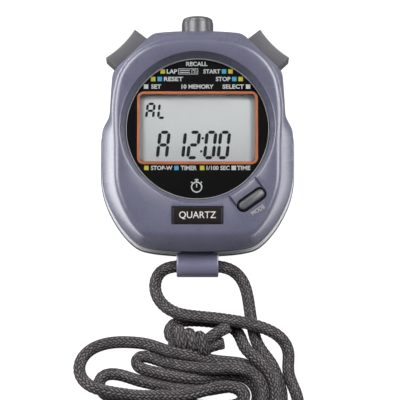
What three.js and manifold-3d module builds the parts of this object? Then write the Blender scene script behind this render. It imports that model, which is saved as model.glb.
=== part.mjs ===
// Electronic stopwatch on a lanyard, lying on its back. Millimetres: X across, Y towards the top button,
// Z out of the face. The origin is on the flat back, under the centre of the dial.

import * as THREE from 'three';
import { mergeVertices } from 'three/addons/utils/BufferGeometryUtils.js';
import Module from 'manifold-3d';

const wasm = await Module();
wasm.setup();

// ---------------------------------------------------------------- driving dimensions

const GAP = 0.3;
const WALL = 1.8;
const DRAFT = 0.35;

const FACE_Z = 18.5;
const WIDEST_Z = 12.5;
const ROOF_Z = 16.6;
const REAR_TOP_Z = 7.7;
const BUTTON_Z = 8;
const FLOOR_Z = 1.8;

const CURVE_STEPS = 5;
const ROUND_STEPS = 56;

// Half outlines of the case, from the middle of the top edge round to the middle of the bottom edge.
const WAIST = {
  top: 34.2,
  topCorner: [15.2, 33.4],
  chamferPull: [21.9, 26.85],
  shoulder: [28.6, 20.3],
  sidePull: [29.3, 12],
  neck: [29.5, 6],
  flarePull: [[29.8, 2.6], [32.1, 2]],
  hip: [32.1, -2],
  side: [32, -16],
  curvePull: [[32, -25], [24.7, -36]],
  heel: [19.7, -38.9],
  heelPull: [15.5, -41],
  bottom: -41.2,
};
const CREASE = {
  top: 30.4,
  topCorner: [10.5, 29.6],
  chamferPull: [21.3, 27.6],
  shoulder: [25.7, 18],
  sidePull: [27.5, 13],
  neck: [27.5, 6],
  flarePull: [[27.5, 3], [27.4, 1]],
  hip: [27.4, -2],
  side: [27.4, -16],
  curvePull: [[27.4, -24], [21.6, -33.5]],
  heel: [18.4, -36],
  heelPull: [15.5, -36.8],
  bottom: -36.8,
};

const RECESS_R = 25.9;
const LENS_SEAT_R = 24.3;
const LENS_R = 24;
const LENS_Z = [14.5, 15.5];
const DIAL_Z = [13.5, 14.2];
const LEDGE_Z = 13.2;
const LEDGE_R = 22.2;
const RING_R = 27.4;
const RING_Z = 12;

const WINDOW = { width: 38.5, height: 22.9, corner: 3, y: 0.5 };
const LCD = { width: 41.5, height: 25.5, z: [9.9, 11.7] };
const HOLDER = { width: 46, height: 30, z: [8.7, 11.7] };
const STRIP = { width: 38, height: 1.8, z: [8.7, 9.6], offset: 11.2 };
const BOARD_Z = [7.4, 8.4];
const BOARD_R = 23.5;

const LABEL = { width: 16.2, height: 5.2, y: -30, z: [17.8, 18.3], pocketZ: 17.5 };

const BUTTON = {
  flangeOut: 2.6,
  flangeThick: 1,
  boreR: 3,
  boreDepth: 5,
  stemR: 1.3,
  stemTip: 26.5,
  height: 9,
};
const TOP_BUTTON = { wall: 34.2, tip: 39.5, radius: 5.35, ear: 6.6 };
const SIDE_BUTTON = { wall: 34.5, tip: 38.9, base: 14.4, end: 13.4, ear: 8, offset: -3.1, dish: 0.8 };
const SPRING_SEAT = { width: 12, z: [2.1, 11.7], y: [27.7, 28.5], holeR: 1.7 };
const SWITCH_LEAF = { width: 4, thick: 0.4, y: 24.2, foot: 20.5, top: 10.4 };

const MODE = {
  x: 18,
  y: -24.7,
  angle: 0.63,
  length: 9.6,
  width: 2.6,
  baseLength: 10.4,
  baseWidth: 3.6,
  top: 19.1,
};

const CASE_SCREWS = [[24, 9], [-24, 9], [20, -29.5], [-20, -29.5]];
const CASE_SCREW = { headR: 1.9, shankR: 1, wellR: 2.3, holeR: 1.3, postR: 2.9, bossR: 2.4, clearR: 3.4 };
const BOARD_SCREWS = [[0, 17.2], [14, -16.2], [-14, -16.2]];
const BOARD_SCREW = { headR: 1.6, shankR: 0.8, holeR: 1.1, earR: 2.2 };

const CELL = { radius: 10, y: 3, z: [3.2, 6.4] };
const BUZZER = { y: -24, radius: 10, plateR: 7, z: [2.1, 2.3, 2.5], springX: 3.5 };

const LUG = { width: 14, y: -45, z: 5, outerR: 3.7, holeR: 2.4, neck: -41.8, tongue: 5, flange: 6.5 };

const CORD_R = 2;
const CORD_SIDES = 8;
const CORD_STEP = 4;
const HANK_HEIGHT = 10;

// ---------------------------------------------------------------- finishes

const finish = (color, roughness, metalness = 0) => new THREE.MeshStandardMaterial({ color, roughness, metalness });
const casePlastic = finish(0x77748c, 0.4);
const greyPlastic = finish(0x7d7b84, 0.38);
const blackPlastic = finish(0x1c1a20, 0.35);
const glass = finish(0xd5e2e6, 0.05);
const displayGlass = finish(0xc9d2cf, 0.2);
const whitePlastic = finish(0xe6e4dc, 0.5);
const boardGreen = finish(0x2f6b3c, 0.55);
const rubber = finish(0x2c2c2e, 0.8);
const resin = finish(0x111113, 0.3);
const steel = finish(0xb9bcc0, 0.3, 1);
const brass = finish(0xc7a24a, 0.35, 1);
const braid = finish(0x3a3738, 0.85);

const stopwatch = new THREE.Group();

function piece(name, geometry, material, parent = stopwatch) {
  const mesh = new THREE.Mesh(geometry, material);
  mesh.name = name;
  parent.add(mesh);
  return mesh;
}

// ---------------------------------------------------------------- solids

function solid(geometry) {
  const bare = geometry.clone();
  bare.deleteAttribute('normal');
  bare.deleteAttribute('uv');
  const merged = mergeVertices(bare, 1e-4);
  return new wasm.Manifold(new wasm.Mesh({
    numProp: 3,
    vertProperties: new Float32Array(merged.attributes.position.array),
    triVerts: new Uint32Array(merged.index.array),
  }));
}

function surface(manifold) {
  const mesh = manifold.getMesh();
  const geometry = new THREE.BufferGeometry();
  geometry.setAttribute('position', new THREE.BufferAttribute(mesh.vertProperties, 3));
  geometry.setIndex(new THREE.BufferAttribute(mesh.triVerts, 1));
  return geometry;
}

const joinAll = (body, extras) => extras.reduce((sum, extra) => sum.add(solid(extra)), body);
const cutAll = (body, tools) => tools.reduce((rest, tool) => rest.subtract(solid(tool)), body);

// Half an outline drawn from its named corners, then mirrored into a closed ring, anticlockwise from the top.
function caseOutline(o) {
  const half = new THREE.Path();
  half.moveTo(0, o.top);
  half.quadraticCurveTo(o.topCorner[0] / 2, o.top, ...o.topCorner);
  half.quadraticCurveTo(...o.chamferPull, ...o.shoulder);
  half.quadraticCurveTo(...o.sidePull, ...o.neck);
  half.bezierCurveTo(...o.flarePull[0], ...o.flarePull[1], ...o.hip);
  half.lineTo(...o.side);
  half.bezierCurveTo(...o.curvePull[0], ...o.curvePull[1], ...o.heel);
  half.quadraticCurveTo(...o.heelPull, 0, o.bottom);
  const right = half.getPoints(CURVE_STEPS);
  const left = right.slice(1, -1).map((p) => new THREE.Vector2(-p.x, p.y)).reverse();
  return [...right, ...left].reverse();
}

// Moves every corner of an anticlockwise ring inwards by the same distance from both its edges.
function inset(ring, distance) {
  return ring.map((point, i) => {
    const before = ring[(i + ring.length - 1) % ring.length];
    const after = ring[(i + 1) % ring.length];
    const a = point.clone().sub(before).normalize();
    const b = after.clone().sub(point).normalize();
    const inward = new THREE.Vector2(-a.y - b.y, a.x + b.x).normalize();
    const lean = Math.max(0.5, inward.dot(new THREE.Vector2(-a.y, a.x)));
    return point.clone().addScaledVector(inward, distance / lean);
  });
}

// Closed body through a stack of rings [{ ring, z }] that all have the same number of points.
function loft(levels) {
  const count = levels[0].ring.length;
  const positions = levels.flatMap(({ ring, z }) => ring.flatMap((p) => [p.x, p.y, z]));
  const index = [];
  for (let level = 0; level < levels.length - 1; level += 1) {
    for (let i = 0; i < count; i += 1) {
      const next = (i + 1) % count;
      const low = level * count;
      const high = low + count;
      index.push(low + i, low + next, high + next);
      index.push(low + i, high + next, high + i);
    }
  }
  const topStart = (levels.length - 1) * count;
  for (const [a, b, c] of THREE.ShapeUtils.triangulateShape(levels[0].ring, [])) index.push(c, b, a);
  for (const [a, b, c] of THREE.ShapeUtils.triangulateShape(levels.at(-1).ring, [])) {
    index.push(topStart + a, topStart + b, topStart + c);
  }
  const geometry = new THREE.BufferGeometry();
  geometry.setAttribute('position', new THREE.Float32BufferAttribute(positions, 3));
  geometry.setIndex(index);
  return geometry;
}

function cylinderZ(radius, low, high, x = 0, y = 0, sides = 16) {
  const geometry = new THREE.CylinderGeometry(radius, radius, high - low, sides);
  return geometry.rotateX(Math.PI / 2).translate(x, y, (low + high) / 2);
}

function coneZ(lowRadius, highRadius, low, high, sides) {
  const geometry = new THREE.CylinderGeometry(highRadius, lowRadius, high - low, sides);
  return geometry.rotateX(Math.PI / 2).translate(0, 0, (low + high) / 2);
}

function cylinderY(radius, low, high, z, x = 0, sides = 24) {
  return new THREE.CylinderGeometry(radius, radius, high - low, sides).translate(x, (low + high) / 2, z);
}

function box(x, y, z) {
  const size = [x[1] - x[0], y[1] - y[0], z[1] - z[0]];
  return new THREE.BoxGeometry(...size).translate((x[0] + x[1]) / 2, (y[0] + y[1]) / 2, (z[0] + z[1]) / 2);
}

function roundedRectangle(width, height, corner) {
  const x = width / 2;
  const y = height / 2;
  const shape = new THREE.Shape();
  shape.moveTo(x - corner, -y);
  shape.absarc(x - corner, -y + corner, corner, -Math.PI / 2, 0);
  shape.absarc(x - corner, y - corner, corner, 0, Math.PI / 2);
  shape.absarc(-x + corner, y - corner, corner, Math.PI / 2, Math.PI);
  shape.absarc(-x + corner, -y + corner, corner, Math.PI, Math.PI * 1.5);
  return shape;
}

function plate(shape, low, high, curveSegments = 3) {
  const geometry = new THREE.ExtrudeGeometry(shape, { depth: high - low, bevelEnabled: false, curveSegments });
  return geometry.translate(0, 0, low);
}

// Round wire wound about the local Y axis.
function coilSpring(radius, wire, from, to, turns, steps) {
  const points = [];
  for (let i = 0; i <= turns * steps; i += 1) {
    const angle = (i / steps) * Math.PI * 2;
    const along = from + wire + ((to - from - 2 * wire) * i) / (turns * steps);
    points.push(new THREE.Vector3(Math.cos(angle) * radius, along, Math.sin(angle) * radius));
  }
  const section = new THREE.Shape().absarc(0, 0, wire, 0, Math.PI * 2);
  const path = new THREE.CatmullRomCurve3(points);
  return new THREE.ExtrudeGeometry(section, { steps: turns * steps, extrudePath: path, curveSegments: 3 });
}

// ---------------------------------------------------------------- case shells

const waist = caseOutline(WAIST);
const crease = caseOutline(CREASE);

function sideButtonBlock(grow, from, to) {
  const base = SIDE_BUTTON.base / 2 + grow;
  const end = SIDE_BUTTON.end / 2 + grow;
  const high = BUTTON.height / 2 + grow;
  const shape = new THREE.Shape();
  shape.moveTo(-base, from);
  shape.lineTo(base, from);
  shape.lineTo(base, SIDE_BUTTON.wall);
  shape.lineTo(end, to);
  shape.lineTo(-end, to);
  shape.lineTo(-base, SIDE_BUTTON.wall);
  return plate(shape, BUTTON_Z - high, BUTTON_Z + high);
}

function throughWall(side) {
  const geometry = sideButtonBlock(GAP, SIDE_BUTTON.wall - 6, SIDE_BUTTON.wall + 6);
  geometry.translate(side * SIDE_BUTTON.offset, 0, 0);
  return geometry.rotateZ((-side * Math.PI) / 4);
}

const wallOpenings = [
  cylinderY(TOP_BUTTON.radius + GAP, TOP_BUTTON.wall - 5, TOP_BUTTON.wall + 5, BUTTON_Z, 0, 40),
  throughWall(1),
  throughWall(-1),
  box([-LUG.tongue - GAP, LUG.tongue + GAP], [LUG.neck - 2, -37], [3.7, 9]),
];

function modeShape(length, width) {
  return roundedRectangle(length, width, width / 2 - 0.01);
}

function atModeButton(geometry) {
  return geometry.rotateZ(MODE.angle).translate(MODE.x, MODE.y, 0);
}

function frontCase() {
  const outside = solid(loft([
    { ring: inset(waist, DRAFT), z: REAR_TOP_Z + GAP },
    { ring: waist, z: WIDEST_Z },
    { ring: inset(waist, 0.4), z: 13.6 },
    { ring: inset(crease, -0.9), z: 17.3 },
    { ring: inset(crease, -0.1), z: 18.1 },
    { ring: inset(crease, 0.8), z: FACE_Z },
  ]));
  const cavity = solid(loft([
    { ring: inset(waist, DRAFT + WALL), z: REAR_TOP_Z - 1 },
    { ring: inset(waist, WALL), z: WIDEST_Z },
    { ring: inset(crease, 1.4), z: ROOF_Z },
  ]));
  const hollow = cavity.subtract(solid(cylinderZ(RING_R, RING_Z, FACE_Z, 0, 0, ROUND_STEPS)));
  const bosses = CASE_SCREWS.map(([x, y]) => cylinderZ(CASE_SCREW.bossR, REAR_TOP_Z + GAP, 17, x, y));
  const tools = [
    coneZ(LENS_SEAT_R, RECESS_R + 0.05, LENS_Z[1], FACE_Z + 0.1, ROUND_STEPS),
    cylinderZ(LENS_SEAT_R, LEDGE_Z, LENS_Z[1] + 0.1, 0, 0, ROUND_STEPS),
    cylinderZ(LEDGE_R, RING_Z - 1, LEDGE_Z + 0.1, 0, 0, ROUND_STEPS),
    plate(roundedRectangle(LABEL.width + 1.4, LABEL.height + 1, 0.5), LABEL.pocketZ, FACE_Z + 1)
      .translate(0, LABEL.y, 0),
    atModeButton(plate(modeShape(MODE.baseLength + 0.8, MODE.baseWidth + 0.8), ROOF_Z - 1, FACE_Z + 1)),
    ...CASE_SCREWS.map(([x, y]) => cylinderZ(CASE_SCREW.holeR, REAR_TOP_Z - 1, 12.5, x, y)),
    ...wallOpenings,
  ];
  return surface(cutAll(joinAll(outside.subtract(hollow), bosses), tools));
}

function rearCase() {
  const outside = solid(loft([
    { ring: inset(waist, 2.4), z: 0 },
    { ring: inset(waist, 1.1), z: 0.7 },
    { ring: inset(waist, 0.45), z: 2.4 },
    { ring: inset(waist, DRAFT), z: REAR_TOP_Z },
  ]));
  const cavity = solid(loft([
    { ring: inset(waist, 2.9), z: FLOOR_Z },
    { ring: inset(waist, DRAFT + WALL), z: 3 },
    { ring: inset(waist, DRAFT + WALL), z: REAR_TOP_Z + 1 },
  ]));
  const posts = CASE_SCREWS.map(([x, y]) => cylinderZ(CASE_SCREW.postR, 0.5, REAR_TOP_Z, x, y));
  const soundHoles = [0, 1, 2, 3, 4, 5].map((i) => {
    const angle = (i * Math.PI) / 3;
    return cylinderZ(0.6, -1, 3, 3 * Math.cos(angle), BUZZER.y + 3 * Math.sin(angle), 8);
  });
  const tools = [
    ...CASE_SCREWS.map(([x, y]) => cylinderZ(CASE_SCREW.wellR, -1, 2.2, x, y)),
    ...CASE_SCREWS.map(([x, y]) => cylinderZ(CASE_SCREW.holeR, 1, REAR_TOP_Z + 1, x, y)),
    ...soundHoles,
    cylinderZ(0.6, -1, 3, 0, BUZZER.y, 8),
    ...wallOpenings,
  ];
  return surface(cutAll(joinAll(outside.subtract(cavity), posts), tools));
}

piece('front_case', frontCase(), casePlastic);
piece('rear_case', rearCase(), casePlastic);

// ---------------------------------------------------------------- lanyard lug

function lanyardLug() {
  const hoop = new THREE.Shape();
  hoop.moveTo(LUG.neck, LUG.z - LUG.outerR);
  hoop.lineTo(LUG.neck, LUG.z + LUG.outerR);
  hoop.lineTo(LUG.y, LUG.z + LUG.outerR);
  hoop.absarc(LUG.y, LUG.z, LUG.outerR, Math.PI / 2, Math.PI * 1.5);
  const tunnel = new THREE.Path().absarc(LUG.y, LUG.z, LUG.holeR, 0, Math.PI * 2, true);
  hoop.holes.push(tunnel);
  const body = new THREE.ExtrudeGeometry(hoop, { depth: LUG.width, bevelEnabled: false, curveSegments: 10 });
  const turned = new THREE.Matrix4().makeBasis(
    new THREE.Vector3(0, 1, 0), new THREE.Vector3(0, 0, 1), new THREE.Vector3(1, 0, 0));
  body.applyMatrix4(turned).translate(-LUG.width / 2, 0, 0);
  const tongue = box([-LUG.tongue, LUG.tongue], [LUG.neck - 0.5, -37.7], [4, 8.7]);
  const flange = box([-LUG.flange, LUG.flange], [-38.7, -37.6], [3.5, 10]);
  return surface(joinAll(solid(body), [tongue, flange]));
}

piece('lanyard_lug', lanyardLug(), casePlastic);

// ---------------------------------------------------------------- dial, display and label

piece('lens', cylinderZ(LENS_R, ...LENS_Z, 0, 0, ROUND_STEPS), glass);

function dialPlate() {
  const opening = plate(roundedRectangle(WINDOW.width, WINDOW.height, WINDOW.corner), 12, 16);
  return surface(solid(cylinderZ(LENS_R, ...DIAL_Z, 0, 0, ROUND_STEPS)).subtract(solid(opening.translate(0, WINDOW.y, 0))));
}

function lcdHolder() {
  const frame = solid(plate(roundedRectangle(HOLDER.width, HOLDER.height, 2), ...HOLDER.z).translate(0, WINDOW.y, 0));
  const ears = BOARD_SCREWS.map(([x, y]) => cylinderZ(BOARD_SCREW.earR, ...HOLDER.z, x, y));
  const inside = plate(roundedRectangle(LCD.width + 2 * GAP, LCD.height + 2 * GAP, 0.5), 8, 13);
  const holes = BOARD_SCREWS.map(([x, y]) => cylinderZ(BOARD_SCREW.holeR, 8, 13, x, y));
  const clearances = CASE_SCREWS.map(([x, y]) => cylinderZ(CASE_SCREW.bossR + 0.4, 8, 13, x, y));
  return surface(cutAll(joinAll(frame, ears), [inside.translate(0, WINDOW.y, 0), ...holes, ...clearances]));
}

function elastomerStrip(side) {
  const y = WINDOW.y + side * STRIP.offset;
  return box([-STRIP.width / 2, STRIP.width / 2], [y - STRIP.height / 2, y + STRIP.height / 2], STRIP.z);
}

piece('dial_plate', dialPlate(), blackPlastic);
piece('lcd_panel', box([-LCD.width / 2, LCD.width / 2],
  [WINDOW.y - LCD.height / 2, WINDOW.y + LCD.height / 2], LCD.z), displayGlass);
piece('lcd_holder', lcdHolder(), whitePlastic);
piece('elastomer_strip_top', elastomerStrip(1), rubber);
piece('elastomer_strip_bottom', elastomerStrip(-1), rubber);
piece('label_plate', plate(roundedRectangle(LABEL.width, LABEL.height, 0.4), ...LABEL.z)
  .translate(0, LABEL.y, 0), blackPlastic);

// ---------------------------------------------------------------- circuit board and what is on it

function circuitBoard() {
  const lobe = new THREE.Shape();
  lobe.moveTo(-22.5, -5);
  lobe.lineTo(-22.5, -27);
  lobe.lineTo(-15, -35);
  lobe.lineTo(15, -35);
  lobe.lineTo(22.5, -27);
  lobe.lineTo(22.5, -5);
  const body = joinAll(solid(cylinderZ(BOARD_R, ...BOARD_Z, 0, 0, 40)), [plate(lobe, ...BOARD_Z)]);
  const clearances = CASE_SCREWS.map(([x, y]) => cylinderZ(CASE_SCREW.clearR, 7, 9, x, y));
  const holes = BOARD_SCREWS.map(([x, y]) => cylinderZ(BOARD_SCREW.holeR, 7, 9, x, y));
  return surface(cutAll(body, [...clearances, ...holes]));
}

function lathe(profile, x, y, sides = 24) {
  const points = profile.map(([radius, z]) => new THREE.Vector2(radius, z));
  return new THREE.LatheGeometry(points, sides).rotateX(Math.PI / 2).translate(x, y, 0);
}

const underBoard = BOARD_Z[0] - GAP;
piece('circuit_board', circuitBoard(), boardGreen);
piece('chip_blob', lathe([[0, 6], [2, 6.1], [3.2, 6.5], [3.5, underBoard], [0, underBoard]], -14, -7.5), resin);
piece('quartz_crystal', cylinderY(1, -12, -6, underBoard - 1, 15, 12), steel);

const [cellLow, cellHigh] = CELL.z;
piece('coin_cell', lathe([
  [0, cellLow], [CELL.radius - 0.4, cellLow], [CELL.radius, cellLow + 0.4], [CELL.radius, cellHigh - 0.6],
  [CELL.radius - 1, cellHigh - 0.4], [CELL.radius - 1.2, cellHigh], [0, cellHigh],
], 0, CELL.y, 32), steel);

function batteryClip() {
  const half = CELL.radius + 1.1;
  const strap = box([-half, half], [CELL.y - 2.5, CELL.y + 2.5], [2.4, 2.9]);
  const legs = [-1, 1].map((side) => {
    const x = side * (half - 0.25);
    return box([x - 0.25, x + 0.25], [CELL.y - 2.5, CELL.y + 2.5], [2.4, underBoard]);
  });
  return surface(joinAll(solid(strap), legs));
}

piece('battery_clip', batteryClip(), steel);
piece('battery_contact', box([-7, 7], [CELL.y - 2, CELL.y + 2], [6.7, underBoard]), brass);
piece('buzzer_disc', lathe([
  [0, BUZZER.z[0]], [BUZZER.radius, BUZZER.z[0]], [BUZZER.radius, BUZZER.z[1]],
  [BUZZER.plateR, BUZZER.z[1]], [BUZZER.plateR, BUZZER.z[2]], [0, BUZZER.z[2]],
], 0, BUZZER.y, 32), brass);
for (const [side, name] of [[-1, 'left'], [1, 'right']]) {
  const spring = coilSpring(1.1, 0.2, BUZZER.z[2] + GAP, underBoard, 4, 8).rotateX(Math.PI / 2);
  piece(`buzzer_spring_${name}`, spring.translate(side * BUZZER.springX, BUZZER.y, 0), brass);
}

// ---------------------------------------------------------------- push buttons

// Every push button is drawn pointing along local +Y from the dial axis, then its group is turned.
function buttonBody(cap, wall, ear) {
  const flangeOut = wall - BUTTON.flangeOut;
  const flangeIn = flangeOut - BUTTON.flangeThick;
  const half = BUTTON.height / 2;
  const flange = box([-ear, ear], [flangeIn, flangeOut], [BUTTON_Z - half, BUTTON_Z + half]);
  const bore = cylinderY(BUTTON.boreR, flangeIn - 1, flangeIn + BUTTON.boreDepth, BUTTON_Z);
  const stem = cylinderY(BUTTON.stemR, BUTTON.stemTip, flangeIn + BUTTON.boreDepth + 0.5, BUTTON_Z, 0, 16);
  return surface(joinAll(joinAll(cap, [flange]).subtract(solid(bore)), [stem]));
}

function roundCap() {
  const { radius, tip, wall } = TOP_BUTTON;
  const profile = [[0, wall - 3], [radius, wall - 3], [radius, tip - 1.2], [radius - 0.5, tip - 0.3],
    [radius - 1.4, tip], [0, tip]];
  const points = profile.map(([r, y]) => new THREE.Vector2(r, y));
  return solid(new THREE.LatheGeometry(points, 40).translate(0, 0, BUTTON_Z));
}

function dishedCap() {
  const halfEnd = SIDE_BUTTON.end / 2;
  const dishR = (halfEnd ** 2 + SIDE_BUTTON.dish ** 2) / (2 * SIDE_BUTTON.dish);
  const scoop = cylinderZ(dishR, 0, 16, 0, SIDE_BUTTON.tip - SIDE_BUTTON.dish + dishR, 120);
  return solid(sideButtonBlock(0, SIDE_BUTTON.wall - 3, SIDE_BUTTON.tip)).subtract(solid(scoop));
}

function switchLeaf() {
  const half = SWITCH_LEAF.width / 2;
  const outer = SWITCH_LEAF.y + SWITCH_LEAF.thick;
  const upright = box([-half, half], [SWITCH_LEAF.y, outer], [6.7, SWITCH_LEAF.top]);
  return surface(joinAll(solid(upright), [box([-half, half], [SWITCH_LEAF.foot, outer], [6.7, underBoard])]));
}

function springSeat() {
  const half = SPRING_SEAT.width / 2;
  const sheet = solid(box([-half, half], SPRING_SEAT.y, SPRING_SEAT.z));
  return surface(sheet.subtract(solid(cylinderY(SPRING_SEAT.holeR, 27, 29, BUTTON_Z, 0, 16))));
}

function pushButton(name, cap, { wall, ear }, turn, offset) {
  const group = new THREE.Group();
  group.rotation.z = turn;
  stopwatch.add(group);
  const springEnd = wall - BUTTON.flangeOut - BUTTON.flangeThick + BUTTON.boreDepth - GAP;
  const spring = coilSpring(2.25, 0.25, SPRING_SEAT.y[1] + GAP, springEnd, 5, 9).translate(0, 0, BUTTON_Z);
  piece(`${name}_button`, buttonBody(cap, wall, ear), greyPlastic, group).position.x = offset;
  piece(`${name}_return_spring`, spring, steel, group).position.x = offset;
  piece(`${name}_spring_seat`, springSeat(), steel, group).position.x = offset;
  piece(`${name}_switch_leaf`, switchLeaf(), brass, group).position.x = offset;
}

pushButton('top', roundCap(), TOP_BUTTON, 0, 0);
pushButton('right', dishedCap(), SIDE_BUTTON, -Math.PI / 4, SIDE_BUTTON.offset);
pushButton('left', dishedCap(), SIDE_BUTTON, Math.PI / 4, -SIDE_BUTTON.offset);

// ---------------------------------------------------------------- mode button

function modeButton() {
  const scaleTop = MODE.width / MODE.baseWidth;
  const cap = plate(modeShape(MODE.baseLength, MODE.baseWidth), 15.2, MODE.top);
  const position = cap.attributes.position;
  for (let i = 0; i < position.count; i += 1) {
    if (position.getZ(i) > FACE_Z) {
      position.setX(i, (position.getX(i) * MODE.length) / MODE.baseLength);
      position.setY(i, position.getY(i) * scaleTop);
    }
  }
  const flange = box([-6.3, 6.3], [-1.9, 1.9], [15.2, 16.2]);
  const stem = cylinderZ(1, 10.2, 15.5, 0, 0, 16);
  return surface(joinAll(solid(cap), [flange, stem]));
}

function rubberSleeve() {
  const profile = [[1.6, 8.8], [2.6, 8.8], [2.6, 9.4], [2, 10.4], [2, 14.9], [1.6, 14.9], [1.6, 8.8]];
  return lathe(profile, 0, 0);
}

piece('mode_button', atModeButton(modeButton()), greyPlastic);
piece('mode_return_sleeve', atModeButton(rubberSleeve()), rubber);
piece('mode_contact', atModeButton(cylinderZ(1.2, 8.7, 9.1, 0, 0, 16)), brass);

// ---------------------------------------------------------------- screws

function screw({ headR, shankR }, headLow, headHigh, tip) {
  const head = solid(cylinderZ(headR, headLow, headHigh));
  const shank = cylinderZ(shankR, headHigh - 0.2, tip, 0, 0, 16);
  const slots = [box([-headR * 0.6, headR * 0.6], [-0.25, 0.25], [headLow - 1, headLow + 0.8]),
    box([-0.25, 0.25], [-headR * 0.6, headR * 0.6], [headLow - 1, headLow + 0.8])];
  return surface(cutAll(joinAll(head, [shank]), slots));
}

CASE_SCREWS.forEach(([x, y], i) => {
  piece(`case_screw_${i + 1}`, screw(CASE_SCREW, 0.4, 1.9, 11.5), steel).position.set(x, y, 0);
});
BOARD_SCREWS.forEach(([x, y], i) => {
  piece(`board_screw_${i + 1}`, screw(BOARD_SCREW, 5.6, underBoard, 11.4), steel).position.set(x, y, 0);
});

// ---------------------------------------------------------------- lanyard cord

const FLOOR = CORD_R + 0.05;
const leftLead = [
  [-0.15, LUG.y, LUG.z], [-4, LUG.y, LUG.z], [-7.5, LUG.y, 4.9], [-10.6, -45.3, 4.2], [-13.2, -46.8, 2.9],
  [-14.5, -49.8, 2.1], [-14.4, -53.2, 2.2], [-12.8, -56.7, 3.1], [-9.8, -59.6, 4.6], [-5.6, -61.5, 5.9],
  [1.2, -62.3, 6.3], [6, -62.8, 6.3], [11.6, -63.5, 6.3], [17.4, -64.7, 6.4], [23.2, -66.3, 5.6],
  [27.6, -68.6, 4.2], [30.2, -71.8, 3.2], [30.9, -75, 2.6],
];
const rightLead = [
  [0.15, LUG.y, LUG.z], [4, LUG.y, LUG.z], [7.5, LUG.y, 4.9], [10.6, -45.5, 4.2], [13.8, -47.4, 2.9],
  [16, -51, 2.1], [17, -55.5, FLOOR], [17.6, -60.2, FLOOR], [18.3, -64.5, FLOOR], [19, -68, FLOOR],
  [19.4, -71.2, FLOOR],
];
const knotLead = [
  [-8, -70.2, 2.6], [-10.6, -68.6, FLOOR], [-10.9, -65.9, FLOOR], [-8, -64.1, FLOOR], [-3, -63.9, FLOOR],
  [3, -64.2, FLOOR], [9, -64.8, FLOOR], [12.6, -66.4, FLOOR], [14, -69, FLOOR], [14.4, -71.4, FLOOR],
];
const tails = [
  [[2, -69.8, 5.4], [6, -69.4, 5.8], [9.5, -68.8, 6.4], [12.8, -68.3, 6.8]],
  [[2, -71, 4.4], [5, -71.6, 4.2], [8.5, -72.3, 4.2], [11, -72.8, 4.4]],
];

function cordTube(points) {
  const path = new THREE.CatmullRomCurve3(points.map((p) => new THREE.Vector3(...p)));
  const steps = Math.max(3, Math.round(path.getLength() / CORD_STEP));
  const section = new THREE.Shape();
  for (let i = 0; i < CORD_SIDES; i += 1) {
    const angle = ((i + 0.5) * Math.PI * 2) / CORD_SIDES;
    const corner = [CORD_R * Math.cos(angle), CORD_R * Math.sin(angle)];
    if (i === 0) section.moveTo(...corner);
    else section.lineTo(...corner);
  }
  return new THREE.ExtrudeGeometry(section, { steps, extrudePath: path });
}

function cordKnot() {
  const lump = new THREE.SphereGeometry(1, 16, 10).scale(6.2, 3, 3.4).translate(-1.2, -70, 3.5);
  return surface(joinAll(solid(lump), tails.map(cordTube)));
}

function cordHank() {
  const outline = new THREE.Shape();
  outline.moveTo(-28, -68);
  outline.quadraticCurveTo(-15, -69.5, -7, -74.2);
  outline.quadraticCurveTo(2, -77, 10, -76.2);
  outline.quadraticCurveTo(15, -72.8, 21, -73.4);
  outline.quadraticCurveTo(28.5, -75.5, 31.5, -81);
  outline.quadraticCurveTo(36, -86, 36, -94);
  outline.quadraticCurveTo(36, -107, 22, -108);
  outline.lineTo(-14, -108);
  outline.quadraticCurveTo(-26, -106, -27, -96);
  outline.quadraticCurveTo(-29, -91, -34, -90);
  outline.quadraticCurveTo(-42.3, -87, -42.2, -79.5);
  outline.quadraticCurveTo(-42, -69, -28, -68);
  return plate(outline, 0.05, HANK_HEIGHT, 5);
}

piece('cord_left_lead', cordTube(leftLead), braid);
piece('cord_right_lead', cordTube(rightLead), braid);
piece('cord_knot_lead', cordTube(knotLead), braid);
piece('cord_knot', cordKnot(), braid);
piece('cord_hank', cordHank(), braid);

export default stopwatch;
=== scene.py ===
"""Electronic stopwatch on a braided lanyard, built around its CAD frame. Drawing units are millimetres."""

import math

import bmesh
import bpy
import numpy as np
from bpy.props import FloatProperty, FloatVectorProperty, IntProperty, PointerProperty
from bpy.types import Operator, Panel, PropertyGroup
from mathutils import Matrix, Vector


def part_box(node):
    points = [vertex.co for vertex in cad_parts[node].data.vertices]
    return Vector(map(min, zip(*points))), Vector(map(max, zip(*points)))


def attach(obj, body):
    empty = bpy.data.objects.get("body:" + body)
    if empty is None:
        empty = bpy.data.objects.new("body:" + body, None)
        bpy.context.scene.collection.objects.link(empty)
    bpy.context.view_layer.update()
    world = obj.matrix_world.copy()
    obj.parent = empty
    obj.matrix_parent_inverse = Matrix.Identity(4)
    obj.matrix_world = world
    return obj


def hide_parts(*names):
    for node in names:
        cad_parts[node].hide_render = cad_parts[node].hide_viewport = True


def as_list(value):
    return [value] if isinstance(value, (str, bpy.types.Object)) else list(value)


bl_info = {
    "name": "Stopwatch on a Lanyard",
    "version": (1, 0, 0),
    "blender": (4, 5, 0),
    "location": "3D View > Sidebar > Stopwatch",
    "description": "Models an electronic stopwatch with push buttons, a display and a braided lanyard",
    "category": "Add Mesh",
}

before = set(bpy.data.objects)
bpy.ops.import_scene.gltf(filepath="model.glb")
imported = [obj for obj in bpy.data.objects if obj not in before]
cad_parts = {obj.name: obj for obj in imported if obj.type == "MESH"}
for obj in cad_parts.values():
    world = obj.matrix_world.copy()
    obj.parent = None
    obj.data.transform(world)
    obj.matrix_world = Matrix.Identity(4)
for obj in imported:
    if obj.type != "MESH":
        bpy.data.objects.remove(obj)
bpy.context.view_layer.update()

MM = 0.001


def box_mm(node):
    """Lowest and highest corner of a CAD node, in millimetres."""
    low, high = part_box(node)
    return low / MM, high / MM


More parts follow.
